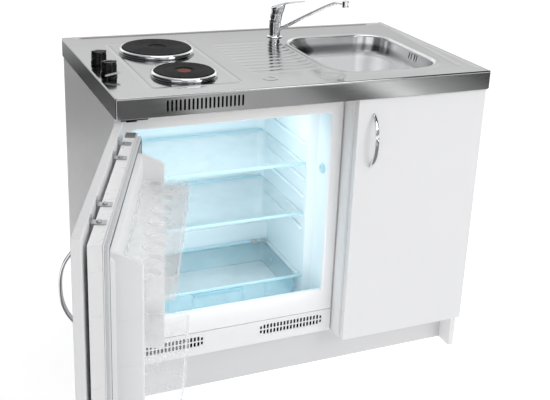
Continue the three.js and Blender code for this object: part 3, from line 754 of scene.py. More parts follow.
def bowl():
    n = 28

    def outline(x0, x1, y0, y1, r):
        """Corners with n steps; the right side carries points at the overflow slots."""
        p = rrect(x0, x1, y0, y1, r, n)
        k = n + 1
        corners = [p[i * k:(i + 1) * k] for i in range(4)]  # near-left, near-right, far-right, far-left
        ys = [90, 110] + SLOT_Y + [190, 215, 240, 262]
        mid = [(x1, y) for y in ys]
        bot = [(x0 + r + (x1 - x0 - 2 * r) * t, y0) for t in (0.25, 0.5, 0.75)]
        top = [(x1 - r - (x1 - x0 - 2 * r) * t, y1) for t in (0.25, 0.5, 0.75)]
        left = [(x0, y1 - r - (y1 - y0 - 2 * r) * t) for t in (0.25, 0.5, 0.75)]
        return corners[0] + bot + corners[1] + mid + corners[2] + top + corners[3] + left

    slot_c = [129.5, 140.5, 156.5, 169]
    SLOT_Y = []
    for c in slot_c:
        SLOT_Y += [c - 2.2, c + 2.2]
    B, W = np.array(BOWL, float), np.array(WELL, float)

    def grow(b, d):
        return (b[0] - d, b[1] + d, b[2] - d, b[3] + d, b[4] + d)

    rows = []
    for a in range(0, 7):
        q = math.pi / 2 * a / 6
        rows.append((np.array(outline(*grow(B, 8 - 8 * math.sin(q)))), 840 - 8 * (1 - math.cos(q))))
    b0, w0 = np.array(outline(*B)), np.array(outline(*W))
    for t, z in ((0.12, 825), (0.27, 818.5), (0.37, 814.2), (0.5, 809), (0.7, 801.5), (0.86, 795), (0.95, 789.5), (0.985, 786), (1.0, 780), (1.0, 766)):
        rows.append((b0 * (1 - t) + w0 * t, z))
    rows.append((np.array(outline(*grow(W, -1.5))), 750))
    rows.append((np.array(outline(*grow(W, -3))), 736))
    for a in range(1, 9):
        q = math.pi / 2 * a / 8
        g = grow(W, -3 - 34 * (1 - math.cos(q)))
        rows.append((np.array(outline(g[0], g[1], g[2], g[3], max(g[4], 30))), 736 - 36 * math.sin(q)))
    base = rows[-1][0]
    c = np.array([243.0, 181.0])
    ang = np.arctan2(base[:, 1] - c[1], base[:, 0] - c[0])
    ring = c + 41.5 * np.stack([np.cos(ang), np.sin(ang)], 1)
    for t in (0.25, 0.5, 0.75, 1.0):
        rows.append((base * (1 - t) + ring * t, 700.0))
    rows.append((c + 36 * np.stack([np.cos(ang), np.sin(ang)], 1), 700.0))
    rings = [[(x, y, z) for x, y in pts] for pts, z in rows]
    geo = loft(rings)
    v = np.array(geo.v)
    keep, mats = [], []
    for f, m in zip(geo.f, geo.m):
        cc = v[list(f)].mean(0)
        if cc[0] > 396 and 814.2 < cc[2] < 832 and any(abs(cc[1] - s) < 2 for s in slot_c):
            continue
        keep.append(f)
        mats.append(m)
    geo.f, geo.m = keep, mats
    for s in slot_c:  # a black back in each overflow slot: painted shade for the dark overflow channel
        back = [(405.6 - 3.3 * (832.6 - z) / 18.6 + e, y, z) for e in (0, 0.4) for z in (832.6, 813.4) for y in (s - 3, s + 3)]
        geo.add(back, [(0, 1, 3, 2), (4, 6, 7, 5), (0, 4, 5, 1), (2, 3, 7, 6), (0, 2, 6, 4), (1, 5, 7, 3)], 1)
    # outside skin of the bowl, seen from below
    outer = []
    for (pts, z) in rows[6:-1:2]:
        cx, cy = pts[:, 0].mean(), pts[:, 1].mean()
        d = pts - np.array([cx, cy])
        L = np.linalg.norm(d, axis=1, keepdims=True)
        outer.append([(x, y, z - 1.5) for x, y in pts + d / L * 1.4])
    loft(outer, geo)
    return make("sink_bowl_pressed", geo, ["steel_bowl", "painted_shade_black"], "sink_bowl", angle=50, weld=False)


bowl()


def drain():
    cx, cy = 243, 181
    geo = lathe([(28, 690), (28, 700.2), (36, 700.2), (41, 700.5), (41, 701.5), (39, 702.0), (34, 702), (31, 700.5), (29.5, 697.2)], cx, cy, 72)
    circ = [(cx + 29.6 * math.cos(2 * math.pi * i / 60), cy + 29.6 * math.sin(2 * math.pi * i / 60)) for i in range(60)]
    holes = []
    for rr, k, hr in ((21.5, 12, 2.6), (13, 8, 2.4), (6.2, 4, 2.0)):
        for i in range(k):
            a = 2 * math.pi * (i + 0.5) / k
            hx, hy = cx + rr * math.cos(a), cy + rr * math.sin(a)
            holes.append([(hx + hr * math.cos(2 * math.pi * j / 14), hy + hr * math.sin(2 * math.pi * j / 14)) for j in range(14)])
    plate(circ, holes, 695.5, 697.2, XY, geo)
    lathe([(0.05, 699.6), (2.6, 699.4), (3.4, 698.4), (3.4, 697)], cx, cy, 24, geo)
    # a black floor under the strainer: painted shade for the dark waste opening
    lathe([(28, 690), (27, 690), (27, 695), (0.5, 690.5)], cx, cy, 48, geo, 1)
    make("drain_strainer", geo, ["chrome", "painted_shade_black"], "drain_flange", angle=40)
    # bottle trap with ribbed nuts and rigid waste pipe
    g = lathe([(0.1, 520), (22, 520), (25.5, 521.5), (28, 525), (31, 527), (31, 588), (29.5, 592), (27.2, 597), (27, 600), (27, 640), (33, 641),
               (34, 642.5), (34, 659), (33, 660.5), (24, 662), (20, 665), (20, 689)], cx, cy, 72)
    for i in range(24):
        a = 2 * math.pi * i / 24
        for rr, z0, z1 in ((33.6, 643.5, 658.5), (30.4, 545, 582)):
            px, py = cx + rr * math.cos(a), cy + rr * math.sin(a)
            block(px - 1.2, px + 1.2, py - 1.2, py + 1.2, z0, z1, 0.8, g, 0, "z", 2)
    make("bottle_trap_moulded", g, ["plastic_white"], "bottle_trap", angle=35)
    path = spline([(cx, cy + 32, 575), (cx, cy + 60, 575), (cx, cy + 90, 575), (cx, 330, 573.6), (cx, 400, 572.5), (cx, 499.5, 571)], 6)
    g = tube(path, 16, 36)
    for y0, y1, r in ((cy + 33, cy + 55, 20.5), (486, 499, 18.5)):
        ring = [[(cx + q * math.cos(a), y, 575 - (y - cy) * 0.0125 + q * math.sin(a)) for a in np.linspace(0, 2 * math.pi, 36, endpoint=False)] for y, q in ((y0, 16), (y0, r - 1), (y0 + 1, r), (y1 - 1, r), (y1, r - 1), (y1, 16))]
        loft(ring, g)
    make("waste_pipe_rigid", g, ["plastic_white"], "waste_pipe", angle=35)


drain()


# ------------------------------------------------------------------ mixer tap
def tap():
    x, y = TAP
    g = lathe([(14, 792), (14, 840.2), (21.6, 840.3), (22.4, 840.8), (22.4, 841.7), (21.7, 842.5), (19.6, 843.5), (17.6, 844.4), (16.4, 845.6), (16.2, 847.2), (16.1, 851.3),
               (13.5, 851.5), (13.5, 905.6), (0.1, 905.9)], x, y, 72)
    make("tap_column", g, ["chrome"], "tap_body", angle=40)
    g = lathe([(13.9, 852.1), (15.9, 852.1), (16.3, 852.7), (17.65, 883.3), (17.2, 884.0), (13.9, 884.0), (13.9, 852.1)], 0, 0, 72)
    path = spline([(14.6, 0, 864.3), (22, 0, 868.4), (30, 0, 873), (72, 0, 898.6), (110, 0, 920.6), (129, 0, 931.5), (144, 0, 939.8), (155, 0, 945.4), (164, 0, 949.5), (172, 0, 952.2), (180, 0, 953.5), (188, 0, 953.8), (195, 0, 953.8)], 7)
    rad = [max(0.93, 1.12 - 0.19 * i / 24) for i in range(len(path))]
    tube(path, rad, 32, g, 0, True, (7.9, 5.55))
    lathe([(0.1, 961.0), (8.4, 961.0), (9.7, 960.4), (10.3, 959.2), (10.3, 948.2), (10.0, 947.7), (10.0, 947.1), (10.3, 946.6), (10.3, 944.0), (9.8, 943.1), (8.6, 943.0), (8.4, 945.2), (0.1, 945.4)], 201, 0, 44, g)
    # a black disc inside the outlet: painted shade for the dark mouth of the aerator
    lathe([(8.5, 944.9), (0.1, 945.0)], 201, 0, 24, g, 1)
    rot = Matrix.Translation((x / 1000, y / 1000, 0)) @ Matrix.Rotation(math.radians(-36), 4, "Z")
    make("tap_spout_swept", g, ["chrome", "painted_shade_black"], "tap_spout", angle=40, move=rot)
    rot2 = Matrix.Translation((x / 1000, y / 1000, 0)) @ Matrix.Rotation(math.radians(-26), 4, "Z")
    # the cap: a sleeve that leans forward, with a slanted top; profile of (radius, height, height below the slanted top)
    prof = [(13.9, 906.2, None), (13.9, 884.9, None), (17.2, 884.7, None), (17.7, 885.4, None), (17.7, 895.0, None), (17.7, 907.0, None), (17.2, 907.5, None), (17.2, 908.1, None),
            (17.8, 908.7, None), (18.2, 911.0, None), (18.9, 914.5, None), (19.7, 918.0, None), (20.3, 921.0, None), (20.6, None, 3.2), (20.4, None, 1.7), (19.7, None, 0.7), (18.4, None, 0.15), (16.0, None, 0.0)]
    n = 96
    rings = []
    for r, z, d in prof:
        ring = []
        for i in range(n):
            a = 2 * math.pi * i / n
            px, py = r * math.cos(a), r * math.sin(a)
            zz = z if d is None else (930 + 0.3167 * (px - 0.17 * 884.6)) / (1 - 0.3167 * 0.17) - d
            lean = 0.0 if r < 14 else 0.17 * (zz - 884.6)
            ring.append((px + lean, py, zz))
        rings.append(ring)
    g = loft(rings, None, 0, True, True)
    cap = make("tap_cap_turned", g, ["chrome"], "tap_cap", angle=42, move=rot2, weld=True)
    # cutter for the lever slot
    cg = block(-10.8, 50, -6.9, 6.9, 917.2, 962, 0.6)
    me = bpy.data.meshes.new("slot_cutter")
    me.from_pydata((np.array(cg.v) / 1000).tolist(), [], cg.f)
    bm = bmesh.new()
    bm.from_mesh(me)
    bmesh.ops.remove_doubles(bm, verts=bm.verts, dist=0.00001)
    bmesh.ops.transform(bm, matrix=rot2, verts=bm.verts)
    bmesh.ops.recalc_face_normals(bm, faces=bm.faces)
    bm.to_mesh(me)
    bm.free()
    cutter = bpy.data.objects.new("slot_cutter", me)
    bpy.context.scene.collection.objects.link(cutter)
    b = cap.modifiers.new("slot", "BOOLEAN")
    b.object, b.operation, b.solver = cutter, "DIFFERENCE", "EXACT"
    dg = bpy.context.evaluated_depsgraph_get()
    new = bpy.data.meshes.new_from_object(cap.evaluated_get(dg))
    cap.modifiers.clear()
    cap.data = new
    new.set_sharp_from_angle(angle=math.radians(42))
    bpy.data.objects.remove(cutter)
    # lever: a hub in the slot that runs out into a thin flat blade
    side = [(-8.4, 924.2), (16.6, 924.2), (20.5, 928.0), (25.8, 934.0), (30.0, 936.8), (36, 938.6), (60, 942.4), (82.6, 945.4), (83.8, 946.2), (83.4, 948.2), (82.4, 948.2), (60, 945.3), (34, 941.9), (24, 939.1), (12, 934.3), (-8.4, 926.9)]
    g = plate(side, [], -6.1, 6.1, XZ)
    make("tap_lever_blade", g, ["chrome"], "tap_lever", angle=40, move=rot2, bevel=0.9, segs=3)


tap()


# ------------------------------------------------------------------ hob
def hob():
    for (cx, cy, R), tag, top in zip(HOB, ("rear", "front"), (False, True)):
        r = R - 0.3
        prof = [(0.1, 851.4), (22.6, 851.4), (23.6, 851.7), (25.0, 853.2), (26.4, 853.7)]
        rr = 29.0
        while rr < r - 7:
            prof += [(rr, 853.75), (rr + 0.7, 853.35), (rr + 1.4, 853.75)]
            rr += 5.1
        prof += [(r - 3.4, 853.85), (r - 1.9, 853.6), (r - 0.7, 852.8), (r - 0.15, 851.6), (r, 850), (r, 842.3), (r - 3, 841.2), (r - 8, 841), (r - 8, 824.2), (0.1, 824.2)]
        g = lathe(prof, cx, cy, 128)
        mats = [iron("cast_iron_" + tag, cx / 1000, cy / 1000)]
        if top:
            lathe([(0.1, 851.75), (15.8, 851.75), (16.4, 851.55), (16.6, 851.3)], cx, cy, 64, g, 1)
            mats.append("red_dot")
        make("hotplate_cast_" + tag, g, mats, "hotplate_" + tag, angle=40)
        q = [(R, 840.4), (R + 4.6, 840.4), (R + 5.4, 840.8), (R + 7.2, 842.8), (R + 7.9, 845.0), (R + 7.7, 847.2), (R + 6.4, 849.4), (R + 4.2, 851.1), (R + 2.0, 851.9), (R + 0.6, 851.8), (R + 0.05, 851.2), (R, 840.4)]
        make("hotplate_trim_" + tag, lathe(q, cx, cy, 128), ["chrome"], "hotplate_ring_" + tag, angle=60)
    for tag, kx, ky in (("rear", -466, 213), ("front", -466, 109)):
        copy_node("hob_switch_" + tag, "plastic_grey", 0.6, 2)
        g = lathe([(0.1, 841.0), (19.0, 841.0), (19.8, 841.7), (20.0, 843.0), (20.0, 846.4), (19.5, 848.2), (18.7, 849.2), (18.2, 851.0), (17.9, 862), (17.5, 869.4), (16.8, 871.9), (15.4, 873.2), (13.6, 873.5), (0.1, 873.5)], kx, ky, 72)
        block(kx - 18.3, kx + 18.3, ky - 3.0, ky + 3.0, 849, 875, 1.7, g, 0, "z", 3)
        for i in range(30):  # finger ribs round the grip
            a = 2 * math.pi * (i + 0.5) / 30
            if abs(math.sin(a)) < 0.26:
                continue
            px, py = kx + 17.8 * math.cos(a), ky + 17.8 * math.sin(a)
            block(px - 0.75, px + 0.75, py - 0.75, py + 0.75, 851, 867, 0.5, g, 0, "z", 2)
        block(kx - 17.2, kx - 8.0, ky - 0.8, ky + 0.8, 874.4, 875.2, 0.3, g, 1, "z", 2)
        make("knob_moulded_" + tag, g, ["plastic_black", "mark_white"], "knob_" + tag, angle=38)
    lx, ly = -468, 71
    g = lathe([(4.6, 828), (4.6, 840.2), (10.6, 840.3), (11.3, 841), (11.3, 845.4), (10.7, 846.7), (9.4, 847.0), (0.1, 847.0)], lx, ly, 56)
    # lens: a flat tongue that slopes upwards to the right; the lamp cap is a real part, while the pale tongue on it
    # stands in for a painted highlight
    rings = []
    for t, w in ((0.0, 2.4), (0.03, 3.6), (0.08, 4.5), (0.2, 5.0), (0.8, 5.0), (0.92, 4.6), (0.975, 3.8), (1.0, 2.6)):
        px = lx - 16.8 + 36.4 * t
        pz = 848.6 + 6.6 * t
        th = (2.6 if 0.05 < t < 0.95 else 1.6)
        rings.append([(px, ly + a, pz + b) for a, b in rrect(-w, w, -th / 2, th / 2 + 0.4, 1.2, 4)])
    loft(rings, g, 1, True, True)
    make("pilot_lamp_cap", g, ["plastic_black", "lamp_lens_painted_highlight"], "pilot_lamp", angle=40)


hob()

# ------------------------------------------------------------------ carcass boards
# the plinth board takes the darker copy of the white board, which is painted shade
for n in ("side_panel_left", "side_panel_right", "partition_panel", "cupboard_floor", "plinth_board", "rear_rail", "front_panel_left"):
    copy_node(n, "board_painted_shade" if n == "plinth_board" else "board", 0.9, 2)
copy_node("cupboard_back_panel", "board", 0.3, 1)
copy_node("cupboard_door", "board", 0.9, 2)


def handle(node, xc, move):
    """Bow handle: a crescent strip with soft edges, thickest in the middle."""
    n = 44
    z0, z1 = 600.0, 747.0
    zc, hz = (z0 + z1) / 2, (z1 - z0) / 2
    rings = []
    for i in range(n + 1):
        t = -1 + 2 * i / n
        b = (1 - abs(t) ** 2.4) ** 0.8 if abs(t) < 1 else 0.0
        outer = np.array([-80.8 - 28.4 * b, zc + hz * t])
        b2 = b
        inner = np.array([-80.3 - 23.6 * b2 * (1.0 if b2 > 0.12 else b2 / 0.12), zc + hz * 0.87 * t])
        mid, half = (outer + inner) / 2, (outer - inner) / 2
        L = max(np.linalg.norm(half), 0.25)
        u = half / L if np.linalg.norm(half) > 1e-6 else np.array([-1.0, 0.0])
        w = 5.4 * (0.55 + 0.45 * math.sqrt(max(0.0, 1 - abs(t) ** 3)))
        ring = []
        for a, c in rrect(-w, w, -L, L, min(w, L) * 0.75, 5):
            p = mid + u * c
            ring.append((xc + a, min(p[0], -80.3), p[1]))
        rings.append(ring)
    g = loft(rings, None, 0, True, True)
    make(node + "_bow", g, ["chrome"], node, angle=50, move=move)


handle("handle_right", 118.3 + 44.5, None)
handle("handle_left", 115.7 - 44.5, DOOR)
for n in ("hinge_cup_upper", "hinge_cup_lower", "hinge_arm_upper", "hinge_arm_lower"):
    copy_node(n, "zinc", 0.5, 2)

# ------------------------------------------------------------------ refrigerator body
copy_node("fridge_casing", "paint_white", 0.4, 2)
copy_node("fridge_insulation", "foam", 0.0)
copy_node("compressor", "paint_black", 6.0, 4)
copy_node("fridge_rear_runner", "plastic_black", 1.2, 2)
for n in ("fridge_foot_left", "fridge_foot_right"):
    copy_node(n, "plastic_black", 0.8, 2)


def condenser():
    rows = []
    for i in range(7):
        z = 310 + i * 62
        a, b = (60, -430) if i % 2 else (-430, 60)
        s = 1 if b > a else -1
        rows += [(a, 445, z), (a + s * 12, 445, z), ((a + b) / 2, 445, z), (b - s * 12, 445, z), (b, 445, z)]
        if i < 6:
            rows.append((b + s * 18, 445, z + 31))
    g = tube(spline(rows, 8), 2.9, 14)
    for k in range(24):
        x = -418 + k * 20.4
        tube([(x, 441.4, 304), (x, 441.4, 688)], 0.7, 6, g)
    make("condenser_coil", g, ["paint_black"], "condenser", angle=60)


condenser()


def base_panel():
    holes = []
    for cx in (-353.0, -10.0):
        for z in (126.0, 142.0):
            for i in range(19):
                x = cx - 88.2 + 9.8 * i
                end = min(i, 18 - i)
                trim = 3.5 if end == 0 and True else 0
                z0 = z + (trim if z < 130 else 0)
                z1 = z + 13 - (trim if z > 130 else 0)
                holes.append(rrect(x - 3.1, x + 3.1, z0, z1, 2.2, 4))
    outer = rrect(-479.9, 107.6, 101.2, 167.4, 3.0, 4)
    g = plate(outer, holes, -18.0, -15.6, XZ)
    # shallow rim round each grille and round mark left bare
    for cx in (-353.0, -10.0):
        for d, w in ((0, 0),):
            path = [(x, -18.1, z) for x, z in rrect(cx - 96, cx + 96, 121.6, 159.6, 9, 8)]
            path.append(path[0])
            path.append(path[1])
            tube(path, 0.7, 8, g, 0, False)
    # a black sheet behind the grilles: painted shade for the dark space behind the slots
    plate(rrect(-470, 98, 118, 162, 4, 4), [], -8.0, -7.6, XZ, g, 1)
    plate(rrect(-477, 105, 158, 173, 2, 3), [], -15.4, -14.8, XZ, g)  # lip behind the joint with the frame
    make("base_panel_grille", g, ["plastic_white", "painted_shade_black"], "fridge_base_panel", angle=40)


base_panel()


def liner():
    g = Geo()
    n = 8

    def ring(y, x0, x1, z0, z1, r, dy=0.0):
        return [(a, y, b) for a, b in rrect(x0, x1, z0, z1, r, n)]

    M0 = (-447, 78, 230, 738)
    rows = [ring(-15.9, -478.4, 106.2, 170.2, 781.0, 4), ring(-17.6, -478.0, 105.8, 170.6, 780.6, 4), ring(-18.0, -477.0, 104.8, 171.6, 779.6, 4)]
    rows += [ring(-18.0, M0[0] - 3.4, M0[1] + 3.4, M0[2] - 3.4, M0[3] + 3.4, 11.5)]
    for k in range(1, 6):
        q = math.pi / 2 * k / 5
        d = 3.4 * (1 - math.sin(q))
        rows.append(ring(-18 + 3.4 * (1 - math.cos(q)), M0[0] - d, M0[1] + d, M0[2] - d, M0[3] + d, 8 + d))
    rows.append(ring(-4.5, *M0, 8))
    rows.append(ring(-2.4, -447, 78, 228.5, 738, 8))
    rows.append(ring(-1.6, -447, 78, 225, 738, 8))
    rows.append(ring(-1.2, -447, 78, 180, 738, 8))
    rows.append(ring(-0.6, -447, 78, 174, 738, 8))
    rows.append(ring(2.0, -447, 78, 172, 738, 8))
    rows.append(ring(51.0, -446.4, 77.4, 172, 738, 8))
    rows.append(ring(54.5, -445.0, 76.0, 172, 738, 8))
    rows.append(ring(61.0, -427.5, 58.5, 172, 738, 9))
    rows.append(ring(63.5, -424.5, 55.5, 172, 738, 10))
    rows.append(ring(68.0, -423.4, 54.4, 172, 738, 12))
    rows.append(ring(300.0, -423.0, 54.0, 172, 738, 14))
    rows.append(ring(313.0, -423.0, 54.0, 172.5, 738, 15))
    rows.append(ring(316.8, -423.0, 54.0, 178, 738, 15))
    rows.append(ring(318.0, -423.0, 54.0, 186, 738, 15))
    rows.append(ring(318.0, -423.0, 54.0, 288, 738, 15))
    rows.append(ring(319.4, -423.0, 54.0, 295, 738, 15))
    rows.append(ring(324.0, -423.0, 54.0, 299.5, 738, 15))
    rows.append(ring(330.0, -423.0, 54.0, 300, 738, 15))
    for k in range(0, 9):
        q = math.pi / 2 * k / 8
        d = 28 * (1 - math.cos(q))
        rows.append(ring(352 + 28 * math.sin(q), -423 + d, 54 - d, 300 + d, 738 - d, 18 + d * 0.3))
    rows.append(ring(380.0, -380, 10, 340, 700, 20))
    loft(rows, g, 0, False, True)
    # the solidify modifier at the end gives the wall its thickness and closes it when seen from behind
    # shelf ribs on both side walls, rounded at the front end
    for zc in (620, 566 - 4.5, 521, 472, 421 - 4.5, 377):
        for side in (-1, 1):
            wall = -423 if side < 0 else 54
            rings = []
            front = 82.0
            for y, s in [(front - 6, 0.15), (front - 5, 0.5), (front - 2.5, 0.82), (front + 1.5, 1.0), (front + 40, 1.0), (312, 1.0), (330, 0.9), (346, 0.55), (352, 0.1)]:
                w, hgt = 9.0 * s, 5.4 * (0.55 + 0.45 * s)
                prof = []
                for k in range(9):
                    q = -math.pi / 2 + math.pi * k / 8
                    prof.append((wall - side * (w * math.cos(q) ** 0.7 if math.cos(q) > 1e-6 else -0.4), y, zc + hgt * math.sin(q)))
                rings.append(prof)
            loft(rings, g, 0, False, False, closed=False)
    # ledges under the glass cover
    for side in (-1, 1):
        x0, x1 = (-424, -412) if side < 0 else (43, 55)
        block(x0, x1, 84, 312, 231, 237.6, 1.6, g)
    # slanting mouldings on the front part of the side walls are not built: the loop below adds nothing
    for side in (-1, 1):
        wall = -447 if side < 0 else 78
        s = -side
        for (ya, za, yb, zb) in ((14, 705, 40, 262), (40, 262, 48, 236)):
            pass
    o = make("fridge_liner_formed", g, ["liner"], "fridge_liner", angle=32)
    sol = o.modifiers.new("wall", "SOLIDIFY")
    sol.thickness, sol.offset = 0.0014, 0.0
    return o


liner()


def hinges():
    for node, x0, x1, z0, z1 in (("fridge_hinge_upper", -479.7, -412.3, 770.1, 782.3), ("fridge_hinge_lower", -478, -428, 157.0, 171.0)):
        g = block(x0, x1, -43.8, -18.5, z0, z1, 1.6)
        if z0 > 400:
            block(-467.7, -440.3, -52.8, -40.4, 769.8, 779.8, 3.0, g)
            lathe([(6.6, z1 - 1), (6.6, z1 - 0.3), (5.6, z1)], -448, -34, 32, g)
            for sx in (-470, -424):
                lathe([(4.4, z1 - 0.6), (4.2, z1 - 0.1), (1.2, z1 + 0.1), (0.9, z1 - 0.8), (0.05, z1 - 0.8)], sx, -30, 24, g, 1)
        else:
            block(-462, -434, -50, -40, z0 + 3, z1 - 3, 2.0, g)
            lathe([(6.4, z0 + 1), (6.4, z1 + 0.2), (5.6, z1 + 0.2)], -448, -34, 32, g)
        make(node + "_body", g, ["plastic_black", "zinc"], node, angle=40)
    # plate let into the top of the door shell under the hinge
    g = Geo()
    plate(rrect(-475.6, -440.4, -53.6, -31.4, 3, 5), [], 768.0, 768.9, XY, g)
    make("hinge_plate_on_door", g, ["zinc"], body=BODY["fridge_door_shell"], slot=SLOT["front_bracket_1"], angle=40, move=DOOR)


hinges()


def thermostat():
    g = Geo()
    cy, cz = 20, 572

    def ring(x, r, k=0.0, m=48):
        return [(x, cy + (r + (k if i % 4 < 2 else 0)) * math.cos(2 * math.pi * i / m), cz + (r + (k if i % 4 < 2 else 0)) * math.sin(2 * math.pi * i / m)) for i in range(m)]

    loft([ring(77.6, 13.9), ring(77.0, 14.0), ring(74.4, 14.0), ring(73.4, 13.2), ring(72.4, 11.4), ring(71.6, 10.7, 0.35), ring(70.2, 10.3, 0.35), ring(69.7, 9.6), ring(69.6, 0.5)], g, 0, True, True)
    block(69.0, 70.4, cy - 1.0, cy + 1.0, cz + 1, cz + 9.4, 0.4, g, 1, "x", 2)
    make("thermostat_dial", g, ["trim_blue", "plastic_grey"], "thermostat_knob", angle=35)


thermostat()


# ------------------------------------------------------------------ shelves and drawer
def shelves():
    gx0, gx1 = -420.5, 51.5
    for node, zt, y0, y1 in (("shelf_upper", 570, 72, 372), ("shelf_lower", 425, 72, 372), ("crisper_cover", 242, 60, 314)):
        g = Geo()
        plate(rrect(gx0, gx1, y0 + 4, y1 - 3, 3, 4), [], zt - 4, zt - 0.1, XY, g, 0)
        # front trim: a rounded profile, run along x
        prof = fillet([(y0, zt - 4), (y0 + 6, zt - 4), (y0 + 6.6, zt + 0.9), (y0 + 3.0, zt + 4), (y0, zt + 3.4)], 1.0, 4, True)
        rings = [[(x, a * s + (y0 + 3) * (1 - s), b * s + zt * (1 - s)) for a, b in prof] for x, s in ((gx0 + 0.6, 0.6), (gx0 + 1.2, 0.93), (gx0 + 3, 1), (gx1 - 3, 1), (gx1 - 1.2, 0.93), (gx1 - 0.6, 0.6))]
        loft(rings, g, 1, True, True)
        # rear trim
        prof = fillet([(y1 - 8, zt - 4), (y1, zt - 4), (y1, zt + 3), (y1 - 2.4, zt + 3), (y1 - 3.4, zt + 0.8), (y1 - 8, zt + 0.8)], 0.6, 3, True)
        rings = [[(x, a, b) for a, b in prof] for x in (gx0 + 0.6, gx1 - 0.6)]
        loft(rings, g, 1, True, True)
        if node == "crisper_cover":
            for cx in (gx1 - 46, gx1 - 16, gx0 + 16):
                block(cx - 9, cx + 9, y1 - 14, y1 - 1.0, zt - 3, zt + 3.9, 1.2, g, 2)
        make(node + "_glazed", g, ["glass", "trim_blue", "plastic_grey"], node, angle=35)


shelves()


def drawer():
    x0, x1, y0, y1 = -408.5, 39.5, 66, 312
    z0, z1 = 172.4, 236.4
    g = Geo()
    outer, inner = [], []
    for z, d, r in ((z0, 5.5, 12), (z0 + 0.9, 3.6, 13), (z0 + 3.2, 2.2, 14), (z0 + 30, 1.1, 15), (z1 - 6, 0.3, 16), (z1 - 5, 0.0, 16), (z1, 0.0, 16)):
        outer.append([(a, b, z) for a, b in rrect(x0 + d, x1 - d, y0 + d, y1 - d, r, 8)])
    for z, d, r in ((z1, 2.4, 14), (z1 - 3.5, 2.6, 14)):
        inner.append([(a, b, z) for a, b in rrect(x0 + d, x1 - d, y0 + d, y1 - d, r, 8)])
    loft(outer + inner, g, 0, True, False)
    # grip and the moulded front with its dividing lines
    block(-262, -122, 59.2, 68, 224.5, 236.2, 2.2, g, 0, "y", 3)
    for xx in (-262, -122):
        block(xx - 0.9, xx + 0.9, 65.2, 66.6, 178, 224, 0.4, g, 1, "z", 2)
    for xx in (-330, -54):
        block(xx - 0.8, xx + 0.8, 65.2, 66.6, 178, 232, 0.4, g, 0, "z", 2)
    make("crisper_drawer_moulded", g, ["clear_blue", "glass_edge"], "crisper_drawer", angle=35)


drawer()


